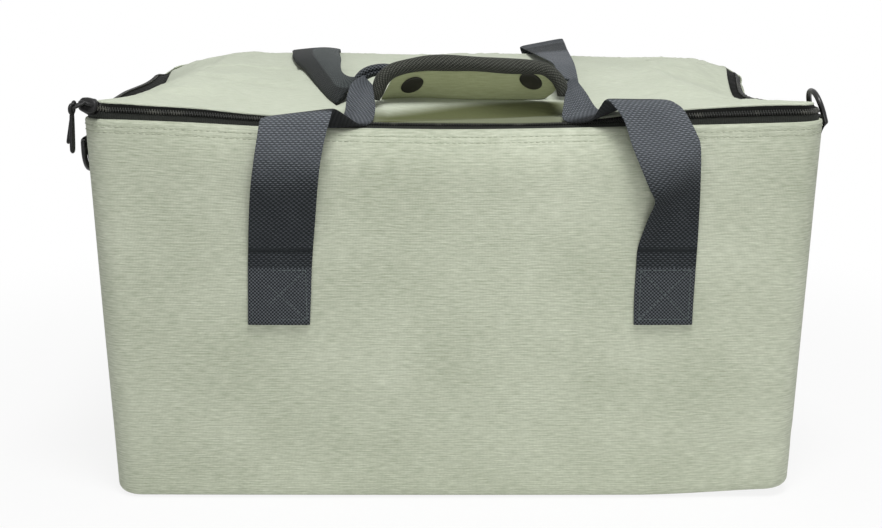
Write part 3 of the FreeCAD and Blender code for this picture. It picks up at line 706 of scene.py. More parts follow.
def lid_point(t, share, drop=0.0):
    """A point of the lid. share is 1 at the edge and 0 on the middle line; the plan point moves
    from the edge to the line, and its height is the lid's, less the drop."""
    t, share = np.broadcast_arrays(np.asarray(t, float), np.asarray(share, float))
    edge = lid_edge(t)
    spine = edge * 0
    spine[..., 0] = np.clip(edge[..., 0] * 0.42, -82, 82)
    p = spine + (edge - spine) * share[..., None]
    p[..., 2] = RIM + lid_height(p[..., 0], p[..., 1]) - drop
    return p


# ---------------------------------------------------------------- walls, pads, linings and base

def span(side, pad=0.0):
    """The stretch of t that a wall's panel covers: the long sides take the corners as well."""
    reach = 1.5 if side in LONG_SIDES else 0.5
    return side - reach + pad, side + reach - pad


def columns(side, pad=0.0):
    """Stations in t across one panel, close together in its corners."""
    a, b = span(side, pad)
    if side in LONG_SIDES:
        return np.concatenate([np.linspace(a, side - 0.5, 9)[:-1],
                               np.linspace(side - 0.5, side + 0.5, 117),
                               np.linspace(side + 0.5, b, 9)[1:]])
    return np.linspace(a, b, 61)


def all_round():
    """Stations in t all the way round, the last on the first."""
    return np.concatenate([columns(s)[:-1] for s in (FRONT, RIGHT, BACK, LEFT)] + [[6.5]])


def cloth_run(t):
    """The length round the bag at t, in millimetres, for the cloth coordinates."""
    steps = ([CORNER_RUN, LONG_RUN, CORNER_RUN, SHORT_RUN] * 3)[:-1]
    return np.interp(np.asarray(t) + 1.5, np.arange(-1, 12),
                     np.cumsum([-CORNER_RUN, CORNER_RUN] + steps))


def panel(name, side, node):
    """Outer cloth of one wall: it rises from the rounded foot, sinks a little under the two rows of
    stitches, rolls over at the rim as a hem and ends inside. Its upright borders dip where they
    are seamed."""
    t = columns(side)
    z = np.concatenate([[0.0, 0.5, 1.4, 2.8, 4.4, 6.2, 9.0], np.linspace(13, RIM - 12, 54),
                        np.arange(RIM - 10.5, RIM - 1.8, 0.6)])
    sunk = 0.24 * (valley(RIM - z - 4.2, 0.7) + valley(RIM - z - 7.6, 0.7))
    z = np.concatenate([z, RIM + np.array([-1.5, -0.5, 0.0, -0.3, -1.2, -3.0, -8.0])])
    inset = np.concatenate([sunk, [0.1, 0.5, 1.3, 2.2, 2.8, 3.0, 3.0]])
    a, b = span(side)
    scale = 26 if side in LONG_SIDES else SHORT_RUN       # millimetres in a unit of t at the borders
    dip = 0.9 * np.exp(-(np.minimum(t - a, b - t) * scale / 1.6) ** 2)
    grid = wall(t[None], z[:, None], inset[:, None] + dip[None])
    run = np.concatenate([z[:-5], RIM + np.array([1.5, 2.8, 4.2, 6.2, 11.0])])
    thing = piece(name, [(grid, chart_of(cloth_run(t), run))], SAGE)
    thicken(thing, CLOTH)
    return dress(thing, "bag_body", "outer_fabric", node)


panel("front_cloth", FRONT, "front_panel")
panel("back_cloth", BACK, "back_panel")
panel("left_cloth", LEFT, "left_side_panel")
panel("right_cloth", RIGHT, "right_side_panel")


def layer(name, side, node, depths, z_range, finish, slot):
    """A closed layer inside one wall, between two depths from its face, thinner at its borders."""
    t = columns(side, 0.04 if side in LONG_SIDES else 0.01)[::2]
    z = np.linspace(*z_range, 48)
    by_height = np.minimum(ease(0, 10, z - z[0]), ease(0, 10, z[-1] - z))
    by_station = np.minimum(ease(0, 0.06, t - t[0]), ease(0, 0.06, t[-1] - t))
    full = by_height[:, None] * by_station[None]
    mid = (depths[0] + depths[1]) / 2
    half = (depths[1] - depths[0]) / 2 * (0.45 + 0.55 * full)
    outer = wall(t[None], z[:, None], mid - half)
    inner = wall(t[None], z[:, None], mid + half)
    thing = slab(name, outer, inner, chart_of(cloth_run(t), z), finish)
    return dress(thing, "bag_body", slot, node)


for word, side in (("front", FRONT), ("back", BACK), ("left_side", LEFT), ("right_side", RIGHT)):
    layer(word + "_pad", side, word + "_foam", (1.6, 7.2), (10, 243), FOAM, "foam")
    layer(word + "_inner_cloth", side, word + "_lining", (7.5, 8.3), (11, 244.5), LINING,
          "lining_fabric")


def floor_grid(inset, z):
    """A flat layer over the floor: rings of the outline at the foot, shrunk towards the middle
    line, and their cloth coordinates."""
    edge = outline(all_round(), TUCK, inset)
    spine = edge * np.array([0.46, 0.0, 0.0])
    p = spine[None] + (edge - spine)[None] * np.linspace(0, 1, 30)[:, None, None]
    p[..., 2] = z
    return settle(p), p[..., :2].copy()


def floor_slab(name, inset, low, high, finish, slot, node):
    """A closed layer of the base between two heights."""
    top, chart = floor_grid(inset, high)
    thing = plate(name, top, floor_grid(inset, low)[0], chart, finish)
    return dress(thing, "bag_body", slot, node)


floor_slab("floor_cloth", 5.9, 0.0, 1.2, SAGE, "outer_fabric", "bottom_panel")
floor_slab("stiff_board", 8.6, 1.4, 4.4, BOARD, "board", "base_board")
floor_slab("floor_pad", 8.8, 4.6, 10.2, FOAM, "foam", "base_foam")
floor_slab("floor_inner_cloth", 9.0, 10.4, 11.2, LINING, "lining_fabric", "base_lining")


def binding():
    """The bound seam inside the rim: a flat oval carried round, over the edges of the layers."""
    t = all_round()
    turn = np.linspace(0, TURN, 15)
    grid = wall(t[None], RIM - 4.6 + 3.2 * np.sin(turn)[:, None], 6.3 + 2.6 * np.cos(turn)[:, None])
    thing = piece("rim_binding", [(grid, chart_of(cloth_run(t), turn * 2.6))], BINDING)
    return dress(thing, "bag_body", "binding", "rim_seam")


binding()


# ---------------------------------------------------------------- zip

ZIP_ENDS = (-2.46, 2.46)      # in t, near the two back corners
TAPE_ENDS = (-2.54, 2.54)
SLIDERS_AT = (-0.89, -1.44)   # in t: the front slider and the side one, either side of the corner
TOOTH_PITCH = 1.6


def band(t, w, lift=0.0):
    """A point of the zip band. w runs from the rim, 0, to the lid's edge, 1, along a straight line
    that bulges outwards by a half sine, most beside the near left corner. lift is the distance off
    the band, outwards."""
    t, w = np.broadcast_arrays(np.asarray(t, float), np.asarray(w, float))
    low = wall(t, RIM - 0.6, 2.2)
    high = lid_edge(t) + np.array([0, 0, -0.9])
    out = unit(np.cross(rim_way(t), unit(high - low)))
    q, w = np.mod(t + 0.5, 8)[..., None], w[..., None]
    ridge = (0.9 + 2.4 * ease(2.02, 2.35, q) * ease(3.0, 2.8, q)
             + 6.0 * ease(6.0, 6.2, q) * ease(6.98, 6.65, q) + 6.0 * valley(q - 7.55, 0.32))
    return low + (high - low) * w + out * (ridge * np.sin(np.pi * np.clip(w, 0, 1)) + lift)


def tape(name, w_range, finish, body, node):
    """A strip of zip tape between two places across the band."""
    t = np.linspace(*TAPE_ENDS, 420)
    w = np.linspace(*w_range, 9)
    thing = piece(name, [(band(t[None], w[:, None]), chart_of(cloth_run(t), w * 12))], finish)
    thicken(thing, 0.6)
    return dress(thing, body, "zip_tape", node)


tape("lower_tape", (-0.22, 0.40), LOWER_TAPE_PAINTED_LIGHT, "bag_body", "zip_lower_tape")
tape("upper_tape", (0.46, 1.0), UPPER_TAPE, "lid", "zip_upper_tape")


def coil(name, w, shift, body, node):
    """One row of the zip's teeth: small bars at an even pitch along the band, which begin at the
    shift. The stretch round the corner between the two sliders is under them and has none."""
    fine = np.linspace(*ZIP_ENDS, 3000)
    run = along(band(fine, 0.5))
    t = np.interp(np.arange(0.5 + shift, run[-1], TOOTH_PITCH), run, fine)
    t = t[(t < SLIDERS_AT[1]) | (t > SLIDERS_AT[0])]
    across = unit(band(t, 0.9) - band(t, 0.1))
    way = unit(band(t + 2e-3, 0.5) - band(t - 2e-3, 0.5))
    teeth = swarm(name, *pill(2.3, 1.0, 1.4), band(t, w, 0.6), across, way, np.cross(way, across), TEETH)
    return dress(teeth, body, "zip_teeth", node)


coil("lower_coil", 0.50, 0.0, "bag_body", "zip_lower_teeth")
coil("upper_coil", 0.60, 1.0, "lid", "zip_upper_teeth")


def end_stop(name, t, node):
    """A small clamped stop across both rows at the zip's end."""
    low, high = band(t, [0.3, 0.46], 0.8)
    path = low + (high - low) * np.linspace(0, 1, 7)[:, None]
    return dress(piece(name, [tube(path, 1.5, rim_way(t), sides=14)], METAL),
                 "bag_body", "black_metal", node)


end_stop("left_stop", ZIP_ENDS[0] - 0.012, "zip_end_stop_left")
end_stop("right_stop", ZIP_ENDS[1] + 0.012, "zip_end_stop_right")


# ---------------------------------------------------------------- lid

def lid():
    """The lid's cloth: rings from the middle line to the edge, then a rolled hem under the edge."""
    t = all_round()
    share = np.concatenate([np.linspace(0, 0.60, 17), np.linspace(0.613, 1.0, 34)])[:, None]
    top = lid_point(t[None], share)
    edge = lid_edge(t)
    out = unit(edge - lid_point(t, 0.97))
    hem = np.stack([edge + out * off + [0, 0, drop]
                    for off, drop in ((0.5, -0.3), (0.8, -0.9), (0.5, -1.6), (-0.6, -2.0), (-4, -2.4))])
    grid = np.concatenate([top, hem])
    folded = edge[None, :, :2] + out[None, :, :2] * np.array([1, 2, 3, 4, 8])[:, None, None]
    chart = np.concatenate([top[..., :2], folded])
    thing = thicken(piece("lid_cloth", [(grid, chart)], LID_SAGE, 0.01), CLOTH)
    return dress(thing, "lid", "outer_fabric", "lid_panel")


def lid_layer(name, node, drops, shrink, finish, slot):
    """A closed layer under the lid's cloth between two drops, thinner towards its edge."""
    t = all_round()
    share = np.concatenate([np.linspace(0, 0.60, 14), np.linspace(0.62, shrink, 20)])[:, None]
    thin = 0.35 + 0.65 * ease(shrink, shrink - 0.12, share)
    outer = lid_point(t[None], share, drops[0])
    inner = outer - ((drops[1] - drops[0]) * thin)[..., None] * np.array([0, 0, 1.0])
    thing = plate(name, outer, inner, outer[..., :2].copy(), finish, 0.01)
    return dress(thing, "lid", slot, node)


lid()
lid_layer("lid_pad", "lid_foam", (1.6, 7.0), 0.96, FOAM, "foam")
lid_layer("lid_inner_cloth", "lid_lining", (7.3, 8.1), 0.965, LINING, "lining_fabric")


def hinge():
    """The cloth hinge along the back: it leaves the rim over a round piping and laps the lid's
    back edge."""
    t = np.linspace(BACK - 1.32, BACK + 1.32, 160)
    low = wall(t, RIM - 7.0, 0.0) + unit(wall(t, RIM, -2) - wall(t, RIM, 0)) * 1.4
    rim = wall(t, RIM, 0.0)
    edge = lid_edge(t)
    out = unit(rim - wall(t, RIM, 6.0))
    lap = lid_point(t, 0.965 + 0.02 * ease(1.0, 1.3, np.abs(t - BACK)))
    rows = np.stack([low, rim + out * 2.0 + [0, 0, -2.5], rim + out * 2.3 + [0, 0, 0.5],
                     rim + out * 1.4 + [0, 0, 3.0], rim - out * 1.2 + [0, 0, 4.6],
                     edge + [0, 0, 0.6], lap + [0, 0, 1.0]])
    w = np.linspace(0, 6, 25)
    grid = bend(w, np.arange(7), rows)
    inner = grid + unit(np.cross(np.gradient(grid, axis=1), np.gradient(grid, axis=0))) * 0.9
    thing = slab("hinge_cloth", grid, inner, chart_of(cloth_run(t), w * 4), LID_SAGE)
    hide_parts("lid_hinge_fabric")
    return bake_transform(thing)


hinge()


def piping():
    """The round sewn fold on the back rim that the lid turns on, with flattened ends."""
    t = np.linspace(BACK - 0.48, BACK + 0.48, 90)
    path = wall(t, RIM + 2.6, 5.2)
    taper = 2.4 * np.minimum(1, np.sqrt(np.minimum(t - t[0], t[-1] - t) / 0.01 + 0.2))
    return dress(piece("back_piping", [tube(path, taper, (0, 0, 1), sides=14)], SAGE),
                 "bag_body", "outer_fabric", "hinge_piping")


piping()


# ---------------------------------------------------------------- stitches

def stitches(name, rows, finish, slot, stitch=2.6, gap=1.1, thread=0.55):
    """Rows of lock stitches. Each row is a dense path and the outward direction on it; a stitch
    is a small bar along the row, half sunk in the cloth."""
    origins, axes, sides, ups = [], [], [], []
    for path, out in rows:
        run = along(path)
        place = np.arange(stitch / 2, run[-1], stitch + gap)
        way = unit(sampled(place, run, np.gradient(path, axis=0)))
        up = unit(sampled(place, run, out))
        origins.append(sampled(place, run, path))
        axes.append(way)
        sides.append(np.cross(up, way))
        ups.append(up)
    thing = swarm(name, *pill(stitch, thread, thread * 0.8),
                  *map(np.concatenate, (origins, axes, sides, ups)), finish)
    return dress(thing, "bag_body", slot)


def rim_rows():
    """Two rows of stitches under the rim, all the way round."""
    t = np.linspace(-0.5, 7.5, 2200)
    return [(wall(t, RIM - drop, -0.05), wall(t, RIM - drop, -1.0) - wall(t, RIM - drop, 0))
            for drop in (4.2, 7.6)]


stitches("rim_stitches", rim_rows(), PALE_THREAD, "outer_fabric")


# ---------------------------------------------------------------- webbing

WEB = 1.6                 # thickness of the webbing


def ribbon(name, rails, finish=WEBBING, thickness=WEB, spots=(-1, 1), pitch=2.5, across=19):
    """Webbing along two or more rails, given by matching points: its edges and, where it folds
    lengthwise, lines between them at the given spots. Stations are evenly spaced along it; across
    it the middle surface is a smooth curve through the rails, and the two faces lie half a
    thickness off it and thin out at the selvedges. The cloth coordinate along it is each edge's
    own length, so a slanting crease doesn't skew the weave."""
    rails = np.asarray(rails, float)
    k = evenly((rails[0] + rails[-1]) / 2, pitch)
    lines = np.stack([bend(k, np.arange(len(rail)), rail) for rail in rails])
    u = np.sin(np.linspace(-1, 1, across) * math.pi / 2)
    mid = bend(u, spots, lines).transpose(1, 0, 2)
    normal = unit(np.cross(np.gradient(mid, axis=1), np.gradient(mid, axis=0)))
    half = (thickness / 2 * (1 - u**8) ** 0.5 + 0.12)[None, :, None]
    width = float(np.median(np.linalg.norm(np.diff(mid, axis=1), axis=2).sum(1)))
    run = along(lines[0])[:, None] * (1 - u) / 2 + along(lines[-1])[:, None] * (1 + u) / 2
    return slab(name, mid + normal * half, mid - normal * half,
                np.stack([np.broadcast_to(u * width / 2, run.shape), run], -1), finish)


front_left = ribbon(
    "front_left_webbing",
    [[(-130.8, -129.2, 122.3), (-130.1, -130.0, 141.3), (-129.3, -130.9, 161.1), (-128.6, -132.1, 171.7),
     (-127.3, -135.3, 188.3), (-124.9, -139.9, 211.2), (-121.8, -142.3, 230.1), (-119.4, -142.0, 243.5),
     (-118.2, -139.6, 251.0), (-116.4, -134.0, 254.6), (-104.6, -127.0, 252.4), (-89.2, -121.0, 247.6),
     (-77.1, -117.0, 247.4), (-69.0, -111.0, 253.8), (-67.2, -104.0, 264.5), (-64.2, -99.0, 272.5),
     (-57.0, -97.0, 277.0)],
     [(-91.3, -130.0, 122.5), (-90.1, -130.8, 141.5), (-89.0, -131.6, 161.2), (-87.9, -132.8, 173.1),
     (-86.0, -135.9, 189.7), (-83.5, -140.4, 212.5), (-80.8, -142.6, 231.4), (-77.5, -142.2, 246.0),
     (-75.1, -139.7, 254.7), (-73.7, -134.0, 259.5), (-70.9, -130.0, 258.6), (-65.3, -125.0, 254.1),
     (-57.7, -119.0, 248.3), (-51.2, -113.5, 249.4), (-49.2, -108.0, 257.6), (-50.2, -103.0, 264.6),
     (-51.0, -99.5, 270.5)]], LEFT_WEBBING)
front_right = ribbon(
    "front_right_webbing",
    [[(114.5, -129.6, 122.4), (114.1, -130.3, 138.8), (114.5, -131.1, 159.8), (115.1, -132.2, 173.6),
     (119.3, -137.0, 190.6), (122.9, -142.7, 203.7), (119.3, -143.8, 211.9), (113.4, -143.8, 225.5),
     (107.6, -142.5, 239.3), (102.7, -139.1, 254.0), (97.0, -134.5, 262.0), (92.6, -130.5, 265.2),
     (89.0, -126.0, 259.1), (85.5, -121.0, 252.3), (76.6, -117.0, 249.6), (68.2, -113.0, 251.1),
     (69.2, -106.0, 260.5), (71.0, -100.0, 268.0), (72.0, -97.0, 273.0)],
     [(151.9, -128.7, 122.2), (151.9, -129.4, 138.5), (152.2, -130.5, 162.2), (152.3, -132.3, 185.8),
     (151.5, -136.5, 211.8), (149.2, -143.6, 237.7), (146.5, -143.3, 246.1), (143.1, -140.4, 253.0),
     (139.3, -136.0, 259.7), (134.9, -133.0, 263.3), (130.6, -129.0, 264.7), (123.9, -122.0, 263.6),
     (113.4, -114.0, 260.8), (103.3, -107.0, 257.2), (94.8, -105.0, 255.5), (89.8, -104.0, 257.2),
     (84.0, -99.0, 266.0), (79.5, -95.5, 271.8), (76.5, -95.0, 276.0)]], RIGHT_WEBBING)

for strap, nodes, x in ((front_left, ("front_strap_end_left", "front_handle_run_left"), -0.100),
                        (front_right, ("front_strap_end_right", "front_handle_run_right"), 0.125)):
    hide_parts(*nodes)
    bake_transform(strap)


def back_strap(word, foot_x, fold_l, fold_r, run_l, run_r, nodes, creases=(), spots=(-1, 1)):
    """A back strap in two lengths that meet where it comes over the rim: the lower one is sewn to
    the back wall and bends to the lid, the upper one lies over the lid and bends to the handle.
    Each has a left and a right edge. They share the points of the fold, and creases are lines
    between the upper one's edges, at the spots."""
    heights = ((122.5, 1.2), (145, 1.2), (167, 1.2), (195, 1.3), (222, 1.8), (242, 2.8))

    def rail(x, fold):
        t = station(x, 1)
        return [(x + (fold[0][0] - x) * float(ease(150, 262, z)), float(wall(t, z, -off)[1]), z)
                for z, off in heights] + fold[:1]

    lower = ribbon(word + "_lower_webbing", [rail(foot_x + 19.5, fold_l), rail(foot_x - 19.5, fold_r)])
    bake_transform(lower)
    upper = ribbon(word + "_upper_webbing", [fold_l + run_l, *creases, fold_r + run_r],
                   FOLDED_PAINTED_SHADE_WEBBING if creases else WEBBING, spots=spots)
    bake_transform(upper)
    for part, node in ((lower, nodes[0]), (upper, nodes[1])):
        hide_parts(node)


back_strap("back_left", -107.5,
           [(-88.0, 134.6, 268.0), (-88.5, 131.0, 275.0)], [(-127.0, 134.6, 267.0), (-126.0, 130.0, 274.0)],
           [(-85.5, 88.0, 279.0), (-82.5, 40.0, 281.0), (-79.5, 6.0, 281.5), (-76.8, -20.0, 280.9),
            (-75.2, -46.0, 278.0), (-72.5, -64.0, 275.6), (-67.5, -74.0, 273.9), (-61.5, -78.0, 274.0)],
           [(-119.0, 90.0, 275.4), (-107.5, 50.0, 275.5), (-99.0, 14.0, 275.0), (-93.5, -12.0, 273.6),
            (-87.5, -36.0, 270.5), (-80.5, -60.0, 266.8), (-73.5, -76.0, 264.5), (-66.5, -84.0, 264.0)],
           ("back_strap_end_left", "back_handle_run_left"),
           creases=[[(-107.5, 134.6, 267.5), (-107.0, 131.0, 275.5), (-103.5, 92.0, 279.6),
                     (-100.5, 42.0, 281.5), (-97.0, 8.0, 281.2), (-92.0, -18.0, 279.4),
                     (-86.5, -40.0, 276.4), (-80.0, -62.0, 272.4), (-73.8, -80.0, 268.4),
                     (-66.0, -84.0, 268.0)],
                    [(-124.5, 134.6, 267.0), (-125.2, 130.5, 274.4), (-121.5, 92.0, 277.0),
                     (-117.0, 48.0, 276.6), (-110.5, 14.0, 275.2), (-103.0, -10.0, 273.2),
                     (-96.0, -36.0, 269.6), (-88.2, -61.0, 264.8), (-80.8, -81.0, 260.4),
                     (-74.8, -94.0, 258.0)]],
           spots=(-1, 0.1, 0.62, 1))
back_strap("back_right", 107.5,
           [(97.0, 134.5, 268.0), (89.5, 128.0, 283.8)], [(60.0, 135.0, 266.0), (55.4, 131.0, 277.2)],
           [(89.1, 110.0, 282.9), (86.9, 65.0, 281.2), (84.3, 15.0, 280.9), (82.0, -35.0, 279.9),
            (80.6, -66.0, 277.0), (80.6, -86.0, 269.5)],
           [(57.6, 115.0, 277.8), (60.1, 70.0, 278.5), (61.8, 20.0, 280.2), (63.6, -30.0, 281.5),
            (66.0, -62.0, 281.0), (67.0, -84.0, 276.0)],
           ("back_strap_end_right", "back_handle_run_right"))


# ---------------------------------------------------------------- grips, wrap and flap

GRIP_X = [-50, -48, -45, -38, -24, -11, 10, 35, 55, 64, 68.5, 69]
GRIP_Z = [10, 16, 23, 28.5, 32, 33.2, 32.6, 31.0, 29.6, 24.5, 17.5, 12]       # over the rim
FRONT_GRIP = np.stack([np.array(GRIP_X, float), np.full(12, -97.5), np.array(GRIP_Z) + RIM], -1)
BACK_GRIP = np.array([(-64, -74, 268), (-57, -77, 276), (-46, -79, 279), (-30, -80, 277.5),
                      (0, -80, 277), (40, -79, 276), (62, -78, 274)], float)


def wrap():
    """The rolled wrap: an oval carried along the grip, fuller in the middle, with soft ridges
    where the cloth turns over and a lap along its back."""
    path = smooth(FRONT_GRIP, 1.6)
    side, normal = frames_on(path, (0, 1, 0))[1:]
    run = along(path)
    turn = np.linspace(0, TURN, 41)
    thin_ends = np.exp(-run / 5) + np.exp(-(run[-1] - run) / 5)
    swell = 4.1 + 0.5 * np.sin(run / run[-1] * math.pi) + 0.25 * np.sin(run / 7.0) - 1.3 * thin_ends
    off_lap = np.mod(turn[None] - 2.2 - 0.3 * np.sin(run[:, None] / 31), TURN) - 0.6
    lap = 1 + 0.16 * valley(off_lap, 0.35)
    ring = (swell[:, None] * lap)[..., None] * oval(turn, side, normal, 1.25)
    thing = slab("front_wrap", path[:, None] + ring, path[:, None] + ring * 0.62,
                 chart_of(turn * 5, run), WRAP, borders=(0, -1), weld=0.001)
    return dress(thing, "front_handle", "grip_fabric", "grip_wrap")


wrap()


def folded_core(name, path, radius, body, node):
    """Webbing folded round on itself: a flattened oval along the path with a groove at its fold."""
    side, normal = frames_on(path, (0, 1, 0))[1:]
    run, turn = along(path), np.linspace(0, TURN, 33)
    groove = 1 - 0.25 * valley(turn - math.pi * 1.5, 0.22)
    ring = radius * groove[None, :, None] * oval(turn, side, normal, 1.35)
    ends = np.minimum(1, np.sqrt(np.minimum(run, run[-1] - run) / 3.0) + 0.001)
    grid = path[:, None] + ring * ends[:, None, None]
    thing = piece(name, [(grid, chart_of(turn * radius, run))], WEBBING, 0.01)
    return dress(thing, body, "webbing", node)


folded_core("front_core", smooth(FRONT_GRIP, 2.0), 2.3, "front_handle", "front_grip_core")
folded_core("back_core", smooth(BACK_GRIP, 2.0), 3.8, "back_handle", "back_grip_core")


FLAP_TOP = ([-45, -38, -24, -11, 10, 35, 55, 66], [19.0, 25.0, 29.5, 30.5, 30.0, 28.5, 27.0, 24.0])


def flap_point(s, w, off=0.0):
    """A point of the hanging flap: s from its left end, 0, to its right, 1, and w from the grip,
    0, to its free edge, 1. It leans back as it falls and hangs in a shallow curve."""
    s, w = np.broadcast_arrays(np.asarray(s, float), np.asarray(w, float))
    left, right = -37.5 - 9.5 * w, bend(w, [0, 0.45, 0.7, 1], [60.0, 66.0, 64.0, 58.0])
    x = left + (right - left) * s
    top_z = bend(np.clip(-38 + 100 * s, -45, 66), *FLAP_TOP)
    low_z = 7.4 - 1.0 * np.sin(np.pi * s) + 0.6 * s
    z = RIM + top_z + (low_z - top_z) * w
    y = -94.0 + (z - RIM - top_z) * -0.70 - 1.6 * np.sin(np.pi * w) + 1.2 * np.sin(s * 9) * w
    return np.stack([x, y, z], -1) + off * np.array([0, -0.78, 0.62])


def flap():
    """The flap: one sheet with rounded lower corners and a turned edge."""
    s = (1 - np.cos(np.linspace(0, math.pi, 57))) / 2
    w = np.linspace(0, 1, 19)
    grid_s, grid_w = np.meshgrid(s, w)
    corner = 1 - 0.05 * (np.abs(2 * grid_s - 1) ** 30)
    outer = flap_point(grid_s, grid_w * corner, 0.7)
    inner = flap_point(grid_s, grid_w * corner, -0.7)
    chart = np.stack([grid_s * 100, grid_w * 26], -1)
    thing = slab("flap_sheet", outer, inner, chart, FLAP_PAINTED_SHADE_SAGE)
    return dress(thing, "wrap_flap", "flap_fabric", "flap_cover", "flap_lining")


flap()


SNAPS = ((0.145, 0.50), (0.85, 0.34))     # places on the flap


def snap(name, profile, node):
    """Snap buttons on the flap: a profile of radius and height turned about the flap's normal."""
    profile = np.asarray(profile, float)
    turn, step = np.linspace(0, TURN, 33), 1e-3
    patches = []
    for s, w in SNAPS:
        centre = flap_point(s, w)
        across = unit(flap_point(s + step, w) - flap_point(s - step, w))
        down = unit(flap_point(s, w + step) - flap_point(s, w - step))
        out = np.cross(down, across)
        ring = np.cos(turn)[None, :, None] * across + np.sin(turn)[None, :, None] * down
        grid = centre + profile[:, :1, None] * ring + profile[:, 1:, None] * out
        patches.append((grid, chart_of(turn * 5, profile[:, 1])))
    return dress(piece(name, patches, SNAP_METAL, 0.01), "wrap_flap", "snap_metal", node)


snap("snap_faces", [(0, 1.5), (3.0, 1.5), (4.6, 1.6), (6.0, 1.5), (6.8, 1.2), (7.0, 0.9), (6.9, 0.6),
                    (0, 0.6)], "snap_sockets")
snap("snap_backs", [(0, -2.2), (4.0, -2.1), (5.8, -1.7), (6.4, -1.2), (6.4, -0.7), (0, -0.7)], "snap_caps")


# ---------------------------------------------------------------- sewn ends of the straps

BOX_LOW, BOX_HIGH = 126.0, 158.5      # heights of the stitched boxes


def box_stitch(left, right, face):
    """Rows of a box-and-cross stitch between two edges: four sides and two diagonals. They lie on
    the front wall, where face is -1, or on the back wall, where it is 1."""
    corners = [(left, BOX_LOW), (right, BOX_LOW), (right, BOX_HIGH), (left, BOX_HIGH)]
    s = np.linspace(0, 1, 60)
    rows = []
    for a, b in ((0, 1), (1, 2), (2, 3), (3, 0), (0, 2), (1, 3)):
        x, z = (corners[a][k] + (corners[b][k] - corners[a][k]) * s for k in (0, 1))
        p = wall(station(x, face), z, -2.15)
        p[:, 0] = x
        rows.append((p, np.broadcast_to([0.0, face, 0.0], p.shape)))
    return rows


boxes = ((-127.5, -93.0, -1), (117.5, 149.0, -1), (-124.5, -91.5, 1), (91.5, 124.5, 1))
stitches("strap_stitches", [row for box in boxes for row in box_stitch(*box)], DARK_THREAD, "webbing",
         2.2, 0.9, 0.7)


# ---------------------------------------------------------------- D-rings and their tabs

for node in ("left_d_ring", "right_d_ring"):
    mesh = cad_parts[node].data
    mesh.materials.clear()
    mesh.materials.append(RING_METAL)


# From the bar: outwards, and up.
TAB_PROFILE = np.array([(-4.6, -15.0), (-3.9, -8.0), (-2.6, -2.0), (-1.6, 1.6), (0, 2.5),
                        (1.9, 1.2), (2.0, -1.2), (0.2, -3.4), (-1.5, -8.0), (-2.4, -15.0)])


def ring_tab(name, bar_x, bar_z, node):
    """A tab of black webbing: it lies on the side wall, passes round the ring's bar and comes
    back to be sewn down, as one strip bent over the bar."""
    out, height = (TAB_PROFILE + [abs(bar_x), bar_z]).T
    near = np.stack([np.sign(bar_x) * out, np.full(len(out), -106.0), height], -1)
    thing = ribbon(name, [near, near + [0, 24.0, 0]], TAB_WEBBING, 1.2, pitch=0.9, across=13)
    return dress(thing, "bag_body", "black_webbing", node)


ring_tab("left_tab", -233.6, 236.0, "left_d_ring_tab")
ring_tab("right_tab", 233.6, 249.0, "right_d_ring_tab")


# ---------------------------------------------------------------- sliders and pulls

FRONT_EYE = np.array([-231.4, -137.6, 260.5])     # where each pull turns on its slider's link
SIDE_EYE = np.array([-236.8, -114.8, 259.5])


def slider(word, t, eye):
    """A slider: a domed shield on the teeth, rounded all about, a plate below them, an arched
    bail along it, and a wire link through the bail that carries the pull's eye. The shield's plan
    is a square whose sides bow, its dome the root of 1 less the fourth power each way."""
    name = word + "_shell"
    run = unit(band(t + 2e-3, 0.5) - band(t - 2e-3, 0.5))
    across = unit(band(t, 0.9) - band(t, 0.1))
    out = np.cross(run, across)
    centre = band(t, 0.55)
    uu, vv = np.meshgrid(np.linspace(-1, 1, 25), np.linspace(-1, 1, 17))
    x, y = 6.8 * uu * np.sqrt(1 - 0.40 * vv**2), 4.9 * vv * np.sqrt(1 - 0.40 * uu**2)
    dome = np.sqrt((1 - uu**4) * (1 - vv**4))

    def lay(h):
        return centre + x[..., None] * run + y[..., None] * across + h[..., None] * out

    chart = np.stack([x, y], -1)
    top = slab(name, lay(2.2 + 2.2 * dome), lay(1.6 + 0 * dome), chart, METAL)
    low = slab(name + "_plate", lay(-1.6 + 0 * dome), lay(-1.9 - 0.5 * dome), chart, METAL)
    s = np.linspace(0, math.pi, 21)
    arch = centre + (-4.4 * np.cos(s))[:, None] * run + (3.0 + 4.4 * np.sin(s))[:, None] * out
    bail = piece(name + "_bail", [tube(arch, 1.15, across)], METAL)
    held = centre + out * 6.2
    way = unit(eye - held)
    arm = unit(np.array([0, 1.0, 0]) - way * way[1])
    turn = np.linspace(0, TURN, 41)
    reach = np.linalg.norm(eye - held) / 2 + 0.6
    loop = ((held + eye) / 2 + reach * squared(np.cos(turn), 0.55)[:, None] * way
            + 2.7 * squared(np.sin(turn), 0.55)[:, None] * arm)
    link = piece(name + "_link", [tube(loop, 0.95, np.cross(way, arm), closed=True)], METAL)
    for part in (low, bail, link):
        dress(part, word, "black_metal")
    return dress(top, word, "black_metal", word)


slider("front_slider", SLIDERS_AT[0], FRONT_EYE)
slider("side_slider", SLIDERS_AT[1], SIDE_EYE)


